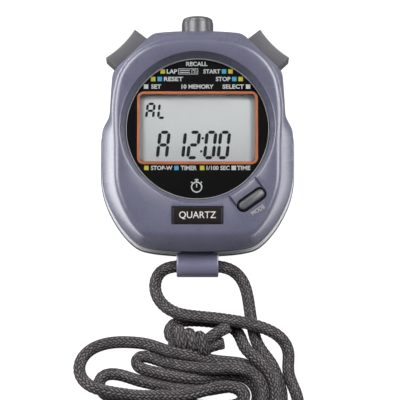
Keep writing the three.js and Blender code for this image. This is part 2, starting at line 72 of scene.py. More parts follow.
# ---------------------------------------------------------------- places taken from the frame

LENS_LOW, LENS_HIGH = box_mm("lens")
LENS_R = LENS_HIGH.x
DIAL_LOW, DIAL_HIGH = box_mm("dial_plate")
DIAL_Z = DIAL_HIGH.z
LCD_LOW, LCD_HIGH = box_mm("lcd_panel")
LABEL_LOW, LABEL_HIGH = box_mm("label_plate")
LABEL_WIDTH, LABEL_HEIGHT = LABEL_HIGH.x - LABEL_LOW.x, LABEL_HIGH.y - LABEL_LOW.y
LABEL_Y = (LABEL_LOW.y + LABEL_HIGH.y) / 2
SEAM_Z, FACE_Z = (corner.z for corner in box_mm("front_case"))
REAR_TOP_Z = box_mm("rear_case")[1].z
LUG_HALF = box_mm("lanyard_lug")[1].x
TOP_TIP = box_mm("top_button")[1].y
MODE_TOP_Z = box_mm("mode_button")[1].z

# ---------------------------------------------------------------- shape of the case and its fittings

WALL = 1.8
DRAFT = 0.35
# heights on the case: foot and rim of the rear shell (painted darker as shade below the rim, near white as the
# floor's reflection above it), top of the band of painted seam shade, widest line, underside of the roof
FOOT_Z, RIM_Z, SHADE_BAND_Z, WIDEST_Z, ROOF_Z = 3.8, 5.6, 10.8, 12.5, 16.6
# how far the rim stands out (its colour is near white as a painted reflection of the floor), and the y at which it
# starts to die away with the length that takes
RIM_OUT, RIM_FADE = 0.55, (6, 10)
# the round recess in the face, the lens seat, the ledge below it and the hollow round the ledge
RECESS_R, SEAT_R = 25.9, LENS_R + 0.3
LEDGE_R, LEDGE_Z = 22.2, 13.2
RING_R, RING_Z = 27.4, 12
WINDOW = {"width": 38.5, "height": 22.9, "corner": 1.6, "y": 0.5}
BORDER = {"width": 40.5, "height": 24.9, "corner": 2.2}
BUTTON_Z, BUTTON_HIGH = 8, 9
TOP_WALL, TOP_R = 34.2, 5.35
SIDE_WALL, SIDE_TIP, SIDE_BASE, SIDE_END = 34.5, 38.9, 14.4, 13.4
SIDE_OFFSET, SIDE_DISH = -3.1, 0.8
# push buttons inside the case: flange depth and thickness, spring bore and the stem that goes through the spring
FLANGE_DEPTH, FLANGE, BORE_R, STEM_R, STEM_END = 3.6, 1, 3, 1.3, 26.5
MODE_AT, MODE_ANGLE = Vector((18, -24.7, 0)), 0.63
MODE_POCKET, MODE_BASE, MODE_CAP = (11.2, 4.4), (10.4, 3.6), (9.4, 2.5)
MODE_FLANGE_Z, MODE_STEM_END = 15.2, 10.2
CASE_SCREWS = ((24, 9), (-24, 9), (20, -29.5), (-20, -29.5))
SCREW_HOLE_R = 1.3
LUG_Y, LUG_Z, LUG_OUTER, LUG_HOLE, LUG_NECK = -45, 5, 3.7, 2.4, -41.05
BUZZER_Y, SOUND_HOLE_R, SOUND_RING_R = -24, 0.6, 3

WAIST = {
    "top": 34.2, "top_corner": (15.2, 33.4), "chamfer_pull": (21.9, 26.85), "shoulder": (28.6, 20.3),
    "side_pull": (29.3, 12), "neck": (29.5, 6), "flare_pull": ((29.8, 2.6), (32.1, 2)), "hip": (32.1, -2),
    "side": (32, -16), "curve_pull": ((32, -25), (24.7, -36)), "heel": (19.7, -38.9),
    "heel_pull": (15.5, -41), "bottom": -41.2,
}
CREASE = {
    "top": 30.4, "top_corner": (10.5, 29.6), "chamfer_pull": (21.3, 27.6), "shoulder": (25.9, 18),
    "side_pull": (27.5, 13), "neck": (27.8, 6), "flare_pull": ((27.8, 2), (27.6, -1)), "hip": (27.4, -5),
    "side": (27.3, -16), "curve_pull": ((27.4, -24), (21.6, -33.5)), "heel": (18.4, -36),
    "heel_pull": (15.5, -36.8), "bottom": -36.8,
}

# The cord leaves the lug on the left, crosses over itself and runs out round the hank.
LEFT_ROUTE = [
    (-0.15, -45, 5), (-4, -45, 5), (-7.5, -45, 4.9), (-10.6, -45.3, 4.2), (-13.2, -46.8, 2.9),
    (-14.5, -49.8, 2.1), (-14.4, -53.2, 2.2), (-12.8, -56.7, 3.1), (-9.8, -59.6, 4.6), (-5.6, -61.5, 5.9),
    (1.2, -62.3, 6.3), (6, -62.8, 6.3), (11.6, -63.5, 6.3), (17.4, -64.7, 6.4), (23.2, -66.3, 5.6),
    (27.6, -68.6, 4.2), (30.2, -71.8, 3.2), (30.9, -75, 2.6),
    # under the turns and back along the outside
    (29.9, -79, 2.1), (31.2, -83.7, 2.1), (33.2, -87.7, 2.1), (33.9, -91, 2.1), (33, -97, 2.1), (28, -103, 2.1),
    (20, -106, 2.1), (6, -106.2, 2.1), (-10, -106, 2.1), (-19, -103, 2.1), (-22, -98, 2.1), (-18.5, -93.6, 2.1),
    (-10, -92.4, 4.4), (-4, -92.4, 6.2), (3, -92.4, 4), (8, -92.4, 2.1), (12, -92.5, 2.1),
    # innermost turn and the second loop
    (17, -91.4, 2.1), (19, -88, 2.1), (16.4, -84.6, 2.1), (10, -83.8, 2.1), (3, -87, 3.6), (-4.5, -86.8, 6.2),
    (-9, -85, 4), (-13.2, -83.4, 2.1), (-19.1, -81.5, 2.1), (-23.6, -80.5, 2.1), (-28.1, -80.3, 2.1),
    (-32.1, -80.3, 2.1), (-35, -82, 2.1), (-35.8, -85, 2.1), (-33, -88, 2.1), (-27, -89.4, 2.1),
    (-20, -91, 2.1), (-12, -94.8, 3), (-4, -96.6, 6.2), (4, -96.9, 4), (9, -96.8, 2.1), (15, -96.3, 2.1),
    # third turn and the small loop
    (20.5, -93, 2.1), (22, -88.5, 2.1), (20, -83, 2.1), (14.5, -80.3, 2.1), (6, -83, 2.6), (0, -83.6, 5.2),
    (-5, -83, 6.2), (-10, -81.4, 4.4), (-14.6, -80.6, 2.6), (-19.3, -80.4, 2.8), (-22.4, -78.8, 3),
    (-22.6, -76, 3), (-20, -74.2, 3.2), (-15.8, -75, 3.8), (-11.4, -77.6, 4.6), (-7.2, -79.8, 7.6),
    (-3, -80.8, 8.6), (6, -80.8, 6.2), (13, -79, 5.6),
    # the turn on top, along the bottom and out to the big loop
    (20, -80.5, 5.6), (24, -86, 5.6), (22.5, -94, 5.6), (15, -98.6, 5.6), (4, -98.8, 7.2), (-4, -99, 9.4),
    (-9, -99.2, 8), (-13.4, -98.6, 6), (-15.6, -96, 5.6), (-13.4, -93.2, 6), (-8, -93, 8), (-3, -93.6, 9.6),
    (3, -94, 7.6),
    (11, -93.8, 5.8), (16.4, -92.2, 5.8), (18, -88.4, 5.8), (15, -85, 5.8), (9, -84.4, 6), (3, -86.2, 7),
    (-3, -87.9, 8), (-9, -89.2, 7), (-15, -89.8, 5), (-21, -89.8, 3), (-28, -89, 2.3), (-34.6, -87.6, 2.1),
    (-39.6, -85, 2.1), (-42, -81.6, 2.1), (-42, -77.6, 2.1), (-39.6, -73.4, 2.1), (-35, -70.6, 2.1),
    (-28.5, -69.2, 2.1), (-22.2, -69.9, 2.1), (-16.2, -71.7, 2.1), (-10, -74, 3.6), (-5, -76.2, 6.2),
    (-0.8, -77.6, 5.6), (6, -78.2, 3),
    # outer turn, along the bottom and up to the knot
    (14, -76.3, 2.1), (21.5, -79.2, 2.1), (26, -86, 2.1), (25, -94, 2.1), (19, -99.5, 2.1), (8, -100.8, 2.6),
    (-3, -100.6, 6.2), (-8, -100.2, 5), (-13, -100, 3.6), (-16.6, -102.4, 4), (-14, -105.6, 5),
    (-6, -105.6, 5.8), (6, -103.6, 5.8),
    (16, -102.8, 5.8), (24, -98.5, 5.8), (28, -90, 5.8), (26, -81, 5.8), (20.5, -75.6, 5.2), (16, -73.4, 3.6),
    (15, -71, 2.6), (14.6, -68.4, 2.1), (13, -65.8, 2.1), (9.6, -64.2, 2.1), (4, -63.3, 2.1), (-2, -62.9, 2.1),
    (-6.4, -63.2, 2.1), (-9.4, -64.8, 2.3), (-10.3, -67.2, 2.8), (-9, -69.6, 3.4), (-6.4, -70.8, 4),
    (-3.6, -70.4, 4.2),
]
RIGHT_ROUTE = [
    (0.15, -45, 5), (4, -45, 5), (7.5, -45, 4.9), (10.6, -45.5, 4.2), (13.8, -47.4, 2.9), (16, -51, 2.1),
    (17, -55.5, 2.1), (17.6, -60.2, 2.1), (18.3, -64.5, 2.1), (19, -68, 2.1), (20, -71.4, 2.2),
    (23, -75.2, 2.3), (28, -80, 2.3), (30, -87.5, 2.1), (29, -95, 2.1), (24, -101.3, 2.1), (15, -104.3, 2.1),
    (5, -103.3, 2.1), (-1.5, -99.4, 2.1), (-4.4, -92, 2.1), (-4.6, -84, 2.1), (-4.2, -77, 2.1), (-3, -72.8, 2.6),
]
TAILS = (
    [(1, -71, 4.4), (3, -70.2, 5.2), (5.2, -68.6, 6), (8, -66.9, 6.4), (10.8, -65.6, 6.6)],
    [(0.6, -71.4, 4), (3, -72.2, 4.2), (5.2, -71.8, 4.4), (7, -71.3, 4.6), (8.9, -71, 4.8)],
)
# How far from its start and its end each cord stays where it was laid, and over what length that fades.
HELD, RELEASE = ((95, 45), (45, 4)), 12
# Each round of settling: sink, pull back towards the route, straighten, and push apart by this share.
SINK, HOMING, STRAIGHTEN, PART = 0.05, 0.02, 0.26, 1.2
# How close two points of one cord may come, as a share of its diameter, by how many steps lie between them.
TURN_LIMITS = ((2, 0.91), (3, 1.16), (4, 1.24), (5, 1.24))
KNOT = {"turns": 3.2, "start": -8.2, "end": 2.8, "y": -68.4, "z": 4.6, "wide": 2.3, "high": 1.8, "thick": 4,
        "lean": 0.3, "phase": 0.9, "points": 64}


# ---------------------------------------------------------------- sizes and colours a user can change

def length(name, description, default):
    return FloatProperty(name=name, description=description, default=default * MM, min=0, unit='LENGTH',
                         precision=5)


def colour(name, description, default):
    return FloatVectorProperty(name=name, description=description, default=default, size=3, min=0, max=1,
                               subtype='COLOR')


class StopwatchSizes(PropertyGroup):
    outline_steps: IntProperty(name="Outline Steps", description="Points along each curve of the case outline",
                               default=18, min=4, max=64)
    round_steps: IntProperty(name="Round Steps", description="Sides of the top button", default=96, min=16,
                             max=256)
    edge: length("Edge Rounding", "Radius left on moulded edges", 0.3)
    pocket_edge: length("Pocket Edge", "Chamfer round the pockets in the face", 0.18)
    print_height: length("Print Height", "Height of the small lettering on the dial", 1.5)
    print_thickness: length("Print Thickness", "How far the print stands above the dial", 0.03)
    square: length("Key Square", "Side of the coloured squares beside the lettering", 1.5)
    segment: length("Segment Width", "Width of the strokes on the display", 1.1)
    cord_diameter: length("Cord Diameter", "Diameter of the braided cord", 4)
    cord_pitch: length("Braid Pitch", "Length of cord in which one strand goes once round", 20)
    cord_relief: length("Braid Relief", "Depth of the grooves between the strands", 0.34)
    cord_ring: length("Cord Ring Gap", "Distance between the rings of the cord's mesh", 0.4)
    strands: IntProperty(name="Strands", description="Strands that run each way round the cord", default=12,
                         min=4)


class StopwatchColours(PropertyGroup):
    case: colour("Case", "Moulded case", (0.116, 0.116, 0.176))
    # near white: the rear shell's upper part, painted as the floor's reflection on the rim
    rear: colour("Rear Case", "Moulded rear shell", (0.82, 0.82, 0.83))
    button: colour("Buttons", "Push buttons", (0.072, 0.07, 0.079))
    dial: colour("Dial", "Dial plate", (0.009, 0.008, 0.009))
    white: colour("White Print", "White lettering and squares", (1, 1, 0.98))
    yellow: colour("Yellow Print", "Yellow squares", (1, 0.86, 0.08))
    cyan: colour("Blue Print", "Blue squares", (0.1, 0.62, 0.95))
    border: colour("Display Border", "Coloured border round the display", (0.9, 0.27, 0.12))
    display: colour("Display", "Display background", (1, 1, 1))
    segments: colour("Segments", "Display strokes", (0.012, 0.014, 0.016))
    label: colour("Label", "Name plate", (0.018, 0.014, 0.013))
    cord: colour("Cord", "Braided cord", (0.022, 0.02, 0.0215))
    # light fibre colour, which shows only on the strands' crowns: partly fibre tone, partly painted highlight
    cord_fibre_highlight: colour("Cord Fibres", "Light fibres in the braid", (0.5, 0.455, 0.465))
    board: colour("Board", "Circuit board", (0.03, 0.13, 0.045))
    steel: colour("Steel", "Steel springs, screws and clips", (0.55, 0.56, 0.57))
    brass: colour("Brass", "Contacts and buzzer", (0.62, 0.42, 0.14))


# ---------------------------------------------------------------- mesh helpers

def finish_piece(bm, name, body, slot, *materials, sharp=35, replaces=()):
    """Turn a drawing in millimetres into a piece at the origin that rides on a body."""
    bmesh.ops.scale(bm, vec=(MM, MM, MM), verts=bm.verts)
    mesh = bpy.data.meshes.new(name)
    bm.to_mesh(mesh)
    bm.free()
    return dress_piece(mesh, name, body, slot, *materials, sharp=sharp, replaces=replaces)


def dress_piece(mesh, name, body, slot, *materials, sharp=35, replaces=()):
    """Give a mesh in metres its shading and materials, and let it ride on a body in place of CAD nodes."""
    mesh.polygons.foreach_set("use_smooth", [True] * len(mesh.polygons))
    mesh.set_sharp_from_angle(angle=math.radians(sharp))
    for material in materials:
        mesh.materials.append(material)
    piece = bpy.data.objects.new(name, mesh)
    bpy.context.scene.collection.objects.link(piece)
    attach(piece, body)
    if replaces:
        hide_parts(*replaces)
    return piece


def loft(bm, rings, closed=False, caps=False):
    """Skin a run of rings with the same number of points. A closed run ends on its first ring."""
    ring = [bm.verts.new(p) for p in rings[0]]
    start = list(ring)
    edges = [bm.edges.new(pair) for pair in zip(ring, ring[1:] + ring[:1])]
    if caps:
        bm.faces.new(ring)
    run = list(rings[1:]) + ([rings[0]] if closed else [])
    for points in run:
        grown = bmesh.ops.extrude_edge_only(bm, edges=edges)["geom"]
        fresh = {v for v in grown if isinstance(v, bmesh.types.BMVert)}
        edges = [e for e in grown if isinstance(e, bmesh.types.BMEdge)]
        ring = [next(e.other_vert(v) for e in v.link_edges if e.other_vert(v) in fresh) for v in ring]
        for vert, point in zip(ring, points):
            vert.co = point
    if caps:
        bm.faces.new(ring)
    if closed:
        bmesh.ops.remove_doubles(bm, verts=start + ring, dist=1e-4)


def clean(bm):
    bmesh.ops.remove_doubles(bm, verts=bm.verts, dist=1e-4)
    bmesh.ops.recalc_face_normals(bm, faces=bm.faces)


def solid(bm, name="tool"):
    """A loose object in millimetres, used only as a boolean tool or target."""
    bmesh.ops.recalc_face_normals(bm, faces=bm.faces)
    mesh = bpy.data.meshes.new(name)
    bm.to_mesh(mesh)
    bm.free()
    thing = bpy.data.objects.new(name, mesh)
    bpy.context.scene.collection.objects.link(thing)
    return thing


def combine(bm, joined=(), cut=()):
    """Join and cut a drawing with closed tools, and give the result back as a drawing."""
    target = solid(bm, "target")
    for tools, operation in ((joined, 'UNION'), (cut, 'DIFFERENCE')):
        for tool in tools:
            boolean = target.modifiers.new(operation, 'BOOLEAN')
            boolean.operation = operation
            boolean.solver = 'EXACT'
            boolean.object = tool
    graph = bpy.context.evaluated_depsgraph_get()
    mesh = bpy.data.meshes.new_from_object(target.evaluated_get(graph))
    result = bmesh.new()
    result.from_mesh(mesh)
    for thing in (target, *joined, *cut):
        bpy.data.objects.remove(thing)
    bpy.data.meshes.remove(mesh)
    bmesh.ops.remove_doubles(result, verts=result.verts, dist=2e-3)
    bmesh.ops.dissolve_degenerate(result, edges=result.edges, dist=1e-3)
    return result


def cylinder(bm, radius, low, high, matrix=Matrix(), sides=48, top_radius=None):
    """Cylinder or cone along the local Z axis of a matrix."""
    place = matrix @ Matrix.Translation((0, 0, (low + high) / 2))
    bmesh.ops.create_cone(bm, cap_ends=True, cap_tris=False, segments=sides, radius1=radius,
                          radius2=radius if top_radius is None else top_radius, depth=high - low, matrix=place)


def block(bm, x, y, z, matrix=Matrix()):
    """Box between two values along each axis."""
    size = Matrix.Diagonal((x[1] - x[0], y[1] - y[0], z[1] - z[0], 1))
    middle = Matrix.Translation(((x[0] + x[1]) / 2, (y[0] + y[1]) / 2, (z[0] + z[1]) / 2))
    bmesh.ops.create_cube(bm, size=1, matrix=matrix @ middle @ size)


def tool(shape, *args, **kwargs):
    """One closed shape as a boolean tool."""
    bm = bmesh.new()
    shape(bm, *args, **kwargs)
    return solid(bm)


def upright(x, y):
    return Matrix.Translation((x, y, 0))


BUTTON_AXIS = Matrix.Translation((0, 0, BUTTON_Z)) @ Matrix.Rotation(-math.pi / 2, 4, 'X')
MODE_FRAME = Matrix.Translation(MODE_AT) @ Matrix.Rotation(MODE_ANGLE, 4, 'Z')


def side_frame(side):
    """Turns a shoulder button from +Y out to its corner, 1 for the right and -1 for the left."""
    return Matrix.Rotation(-side * math.pi / 4, 4, 'Z') @ Matrix.Translation((side * SIDE_OFFSET, 0, 0))


def bevel_sharp(bm, width, segments):
    """Round every edge sharper than 30 degrees."""
    bm.normal_update()
    sharp = [e for e in bm.edges if len(e.link_faces) == 2 and e.calc_face_angle() > math.radians(30)]
    bmesh.ops.bevel(bm, geom=sharp, offset=width, offset_type='OFFSET', segments=segments, profile=0.5,
                    affect='EDGES', clamp_overlap=True, material=-1)


# ---------------------------------------------------------------- outlines

def bezier(points, steps):
    """Points along a Bezier curve of any order, without its last one."""
    run = []
    for i in range(steps):
        level = [Vector(p) for p in points]
        while len(level) > 1:
            level = [a.lerp(b, i / steps) for a, b in zip(level, level[1:])]
        run.append(level[0])
    return run


def case_outline(o, steps):
    """Closed outline of the case from its named corners, anticlockwise, with its corners eased."""
    curves = [
        [(0, o["top"]), (o["top_corner"][0] / 2, o["top"]), o["top_corner"]],
        [o["top_corner"], o["chamfer_pull"], o["shoulder"]],
        [o["shoulder"], o["side_pull"], o["neck"]],
        [o["neck"], *o["flare_pull"], o["hip"]],
        [o["hip"], o["side"]],
        [o["side"], *o["curve_pull"], o["heel"]],
        [o["heel"], o["heel_pull"], (0, o["bottom"])],
    ]
    right = [p for curve in curves for p in bezier(curve, steps)] + [Vector((0, o["bottom"]))]
    left = [Vector((-p.x, p.y)) for p in right[1:-1]]
    ring = (right + left[::-1])[::-1]
    for _ in range(4):
        ring = [(a + 2 * b + c) / 4 for a, b, c in zip(ring[-1:] + ring[:-1], ring, ring[1:] + ring[:1])]
    return ring


def inset(ring, distance):
    """Move every point of an anticlockwise ring inwards."""
    moved = []
    for before, point, after in zip(ring[-1:] + ring[:-1], ring, ring[1:] + ring[:1]):
        along = (after - before).normalized()
        moved.append(point + Vector((-along.y, along.x)) * distance)
    return moved


def at_height(ring, z):
    return [Vector((p.x, p.y, z)) for p in ring]


def circle_like(ring, radius, z):
    """Circle whose points stand at the same bearings as the points of a ring."""
    return [Vector((*(p.xy.normalized() * radius), z)) for p in ring]


def rounded_rectangle(width, height, corner, steps=8, side_steps=1):
    """Anticlockwise points of a rectangle with round corners, started on the right."""
    corners = []
    for turn, (sx, sy) in enumerate(((1, 1), (-1, 1), (-1, -1), (1, -1))):
        centre = Vector((sx * (width / 2 - corner), sy * (height / 2 - corner)))
        angles = [(turn + i / steps) * math.pi / 2 for i in range(steps + 1)]
        corners.append([centre + Vector((math.cos(a), math.sin(a))) * corner for a in angles])
    points = []
    for arc, following in zip(corners, corners[1:] + corners[:1]):
        points += arc + [arc[-1].lerp(following[0], i / side_steps) for i in range(1, side_steps)]
    return points


def stadium(width, height):
    return rounded_rectangle(width, height, height / 2 - 0.01, 16)


def rounded_levels(low, high, edge, steps=3):
    """Pairs of inset and height that round the upper edge of an upright wall."""
    levels = [(0, low)]
    for i in range(steps + 1):
        angle = i / steps * math.pi / 2
        levels.append((edge * (1 - math.cos(angle)), high - edge * (1 - math.sin(angle))))
    return levels


def slab(bm, outline, low, high, edge, matrix=Matrix()):
    """Plate with a rounded upper edge, standing on a closed outline."""
    rings = [[matrix @ p for p in at_height(inset(outline, step), z)] for step, z in
             rounded_levels(low, high, edge)]
    loft(bm, rings, caps=True)


def flared_pocket(bm, outline, floor, top, chamfer, matrix=Matrix()):
    """Tool for a pocket whose mouth is chamfered where it meets the face."""
    levels = [(0, floor), (0, FACE_Z - chamfer), (-chamfer - 0.05, FACE_Z + 0.05), (-chamfer - 0.05, top)]
    loft(bm, [[matrix @ p for p in at_height(inset(outline, step), z)] for step, z in levels], caps=True)


# ---------------------------------------------------------------- material helpers

class Nodes:
    """Short ways to add and join shader nodes."""

    def __init__(self, name):
        self.material = bpy.data.materials.new(name)
        self.material.use_nodes = True
        self.tree = self.material.node_tree
        self.shader = self.tree.nodes["Principled BSDF"]
        self.coordinates = self.add("ShaderNodeTexCoord").outputs["Object"]

    def add(self, kind, links=None, **settings):
        node = self.tree.nodes.new(kind)
        for key, value in settings.items():
            setattr(node, key, value)
        for socket, source in (links or {}).items():
            if isinstance(source, bpy.types.NodeSocket):
                self.tree.links.new(source, node.inputs[socket])
            else:
                node.inputs[socket].default_value = source
        return node

    def math(self, operation, a, b=0.0):
        return self.add("ShaderNodeMath", {0: a, 1: b}, operation=operation).outputs[0]

    def noise(self, scale, detail=3.0, roughness=0.55, vector=None):
        links = {"Vector": vector or self.coordinates, "Scale": scale, "Detail": detail, "Roughness": roughness}
        return self.add("ShaderNodeTexNoise", links).outputs["Fac"]

    def spread(self, value, low, high, from_low=0.3, from_high=0.7):
        return self.add("ShaderNodeMapRange", {"Value": value, "From Min": from_low, "From Max": from_high,
                                               "To Min": low, "To Max": high}).outputs["Result"]

    def blend(self, factor, a, b):
        node = self.add("ShaderNodeMix", data_type='RGBA')
        for socket, source in ((node.inputs[0], factor), (node.inputs[6], a), (node.inputs[7], b)):
            if isinstance(source, bpy.types.NodeSocket):
                self.tree.links.new(source, socket)
            else:
                socket.default_value = source
        return node.outputs[2]

    def bump(self, height, distance, strength=1.0):
        return self.add("ShaderNodeBump", {"Height": height, "Distance": distance * MM,
                                           "Strength": strength}).outputs["Normal"]

    def shade(self, **sockets):
        """Join or set inputs of the shader, by names with underscores for spaces."""
        for name, source in sockets.items():
            socket = self.shader.inputs[name.replace("_", " ")]
            if isinstance(source, bpy.types.NodeSocket):
                self.tree.links.new(source, socket)
            else:
                socket.default_value = source
        return self.material


def scaled(rgb, factor):
    return (*[min(1.0, c * factor) for c in rgb], 1.0)


def moulded_plastic(name, rgb, roughness=0.29, grain=0.012, specular=1.0, grain_scale=5200):
    """Satin moulded plastic with a fine spark-eroded grain and faint flow marks."""
    n = Nodes(name)
    cloud = n.noise(90, 4)
    fine = n.noise(grain_scale, 2)
    tint = n.blend(n.spread(cloud, 0, 1), scaled(rgb, 0.97), scaled(rgb, 1.03))
    rough = n.math('ADD', n.spread(cloud, roughness - 0.03, roughness + 0.03), n.spread(fine, -0.03, 0.03))
    return n.shade(Base_Color=tint, Roughness=rough, Specular_IOR_Level=specular, Normal=n.bump(fine, grain, 0.6))


def printed_ink(name, rgb, roughness=0.45):
    """Screen-printed ink, slightly uneven in cover."""
    n = Nodes(name)
    grain = n.noise(9000, 2)
    tint = n.blend(n.spread(grain, 0, 1), scaled(rgb, 0.88), scaled(rgb, 1.04))
    return n.shade(Base_Color=tint, Roughness=n.spread(grain, roughness - 0.05, roughness + 0.05),
                   Normal=n.bump(grain, 0.004, 0.5))


def metal(name, rgb, roughness=0.28, brushed=(4000, 300, 4000)):
    """Drawn or stamped metal with fine lines along one axis and light tarnish."""
    n = Nodes(name)
    lines_at = n.add("ShaderNodeMapping", {"Vector": n.coordinates, "Scale": brushed}).outputs[0]
    lines = n.noise(1.0, 3, vector=lines_at)
    tarnish = n.noise(700, 4)
    tint = n.blend(n.spread(tarnish, 0, 1), scaled(rgb, 0.78), scaled(rgb, 1.05))
    rough = n.math('ADD', n.spread(lines, roughness - 0.08, roughness + 0.1), n.spread(tarnish, 0, 0.08))
    return n.shade(Base_Color=tint, Metallic=1.0, Roughness=rough, Normal=n.bump(lines, 0.006, 0.5))


def board_material(name, rgb):
    """Lacquered circuit board with copper tracks showing through."""
    n = Nodes(name)
    tracks = n.add("ShaderNodeTexBrick", {"Vector": n.coordinates, "Scale": 260.0, "Mortar Size": 0.045,
                                          "Color1": scaled(rgb, 1.0), "Color2": scaled(rgb, 1.15),
                                          "Mortar": scaled(rgb, 2.1)})
    weave = n.noise(2500, 2)
    return n.shade(Base_Color=n.blend(n.spread(weave, 0, 0.35), tracks.outputs["Color"], scaled(rgb, 0.6)),
                   Roughness=n.spread(weave, 0.3, 0.42), Normal=n.bump(tracks.outputs["Fac"], 0.03, 0.4))


def clear_lens(name, tint, cover=0.0, metallic=1.0, roughness=0.02):
    """Clear acrylic: a mirror-like skin laid over see-through, with a share that follows the angle of view."""
    n = Nodes(name)
    smear = n.noise(60, 3)
    n.shade(Base_Color=(*tint, 1), Metallic=metallic, Roughness=n.spread(smear, roughness, roughness + 0.03))
    gloss = n.add("ShaderNodeFresnel", {"IOR": 1.49}).outputs[0]
    clear = n.add("ShaderNodeBsdfTransparent", {"Color": (0.98, 0.99, 0.99, 1)}).outputs[0]
    share = n.math('ADD', gloss, n.spread(smear, cover, cover + 0.005))
    mixed = n.add("ShaderNodeMixShader", {0: share, 1: clear, 2: n.shader.outputs[0]}).outputs[0]
    n.tree.links.new(mixed, n.tree.nodes["Material Output"].inputs["Surface"])
    return n.material


def braid_material(name, rgb, fibre_highlight_rgb):
    """Round braid seen as floats of two strand families, each a bundle of fine fibres.

    The UV map counts strands round the cord and along it, and its sum and difference number the two families."""
    n = Nodes(name)
    uv = n.add("ShaderNodeUVMap", uv_map="braid").outputs[0]
    parts = n.add("ShaderNodeSeparateXYZ", {0: uv})
    right = n.math('ADD', parts.outputs[0], parts.outputs[1])
    left = n.math('SUBTRACT', parts.outputs[0], parts.outputs[1])
    right_part, left_part = n.math('FRACT', right), n.math('FRACT', left)
    count = n.math('ADD', n.math('FLOOR', right), n.math('FLOOR', left))
    phase = n.math('FLOORED_MODULO', count, 4.0)
    on_top = n.math('LESS_THAN', phase, 1.5)
    phase_left = n.math('SUBTRACT', phase, 2.0)
    along_right = n.math('MULTIPLY', n.math('ADD', phase, left_part), 0.5)
    along_left = n.math('MULTIPLY', n.math('ADD', phase_left, right_part), 0.5)

    def pick(a, b):
        return n.math('ADD', n.math('MULTIPLY', on_top, a),
                      n.math('MULTIPLY', n.math('SUBTRACT', 1.0, on_top), b))

    across = pick(right_part, left_part)
    along = pick(along_right, along_left)
    strand = pick(n.math('FLOOR', right), n.math('ADD', n.math('FLOOR', left), 37.0))
    edge = n.math('ABSOLUTE', n.math('SUBTRACT', n.math('MULTIPLY', across, 2.0), 1.0))
    end = n.math('ABSOLUTE', n.math('SUBTRACT', n.math('MULTIPLY', along, 2.0), 1.0))
    crown = n.math('SUBTRACT', 1.0, n.math('POWER', edge, 2.6))
    dip = n.math('SUBTRACT', 1.0, n.math('POWER', end, 3.0))
    height = n.math('MULTIPLY', crown, dip)
    fibre_at = n.add("ShaderNodeCombineXYZ", {0: n.math('MULTIPLY', across, 9.0),
                                              1: n.math('MULTIPLY', along, 1.6),
                                              2: n.math('MULTIPLY', count, 3.1)})
    fibres = n.noise(1.0, 2, 0.6, vector=fibre_at.outputs[0])
    strand_at = n.add("ShaderNodeCombineXYZ", {0: strand, 1: n.math('MULTIPLY', parts.outputs[1], 0.35), 2: 0.5})
    strand_tone = n.noise(1.0, 1, 0.5, vector=strand_at.outputs[0])
    # light fibres weighted by the strand's height: painted highlight on the crowns, mixed with real fibre and
    # strand tone
    lit = n.math('MULTIPLY', n.spread(fibres, 0, 1, 0.42, 0.68), height)
    lit = n.math('MULTIPLY', lit, n.spread(strand_tone, 0.45, 1.0, 0.35, 0.65))
    base = n.blend(lit, scaled(rgb, 1.0), scaled(fibre_highlight_rgb, 1.0))
    # grooves between the strands fade to an eighth of the cord colour: painted shade
    dark = n.blend(n.spread(height, 0, 1, 0.0, 0.45), scaled(rgb, 0.12), base)
    bumpy = n.math('ADD', height, n.math('MULTIPLY', fibres, 0.3))
    return n.shade(Base_Color=dark, Roughness=n.spread(fibres, 0.5, 0.72), Specular_IOR_Level=0.25,
                   Normal=n.bump(bumpy, 0.12, 0.8))


# ---------------------------------------------------------------- the cord

def smooth_run(points, step):
    """Curve through a run of points, resampled at an even step."""
    p = np.asarray(points, float)
    p = np.vstack([2 * p[0] - p[1], p, 2 * p[-1] - p[-2]])
    run = []
    for a, b, c, d in zip(p, p[1:], p[2:], p[3:]):
        for t in np.linspace(0, 1, 24, endpoint=False):
            run.append(0.5 * (2 * b + (c - a) * t + (2 * a - 5 * b + 4 * c - d) * t * t
                              + (3 * b - a - 3 * c + d) * t ** 3))
    run = np.array(run + [p[-2]])
    reach = np.r_[0, np.cumsum(np.linalg.norm(np.diff(run, axis=0), axis=1))]
    even = np.linspace(0, reach[-1], max(2, int(round(reach[-1] / step))) + 1)
    return np.column_stack([np.interp(even, reach, run[:, k]) for k in range(3)])


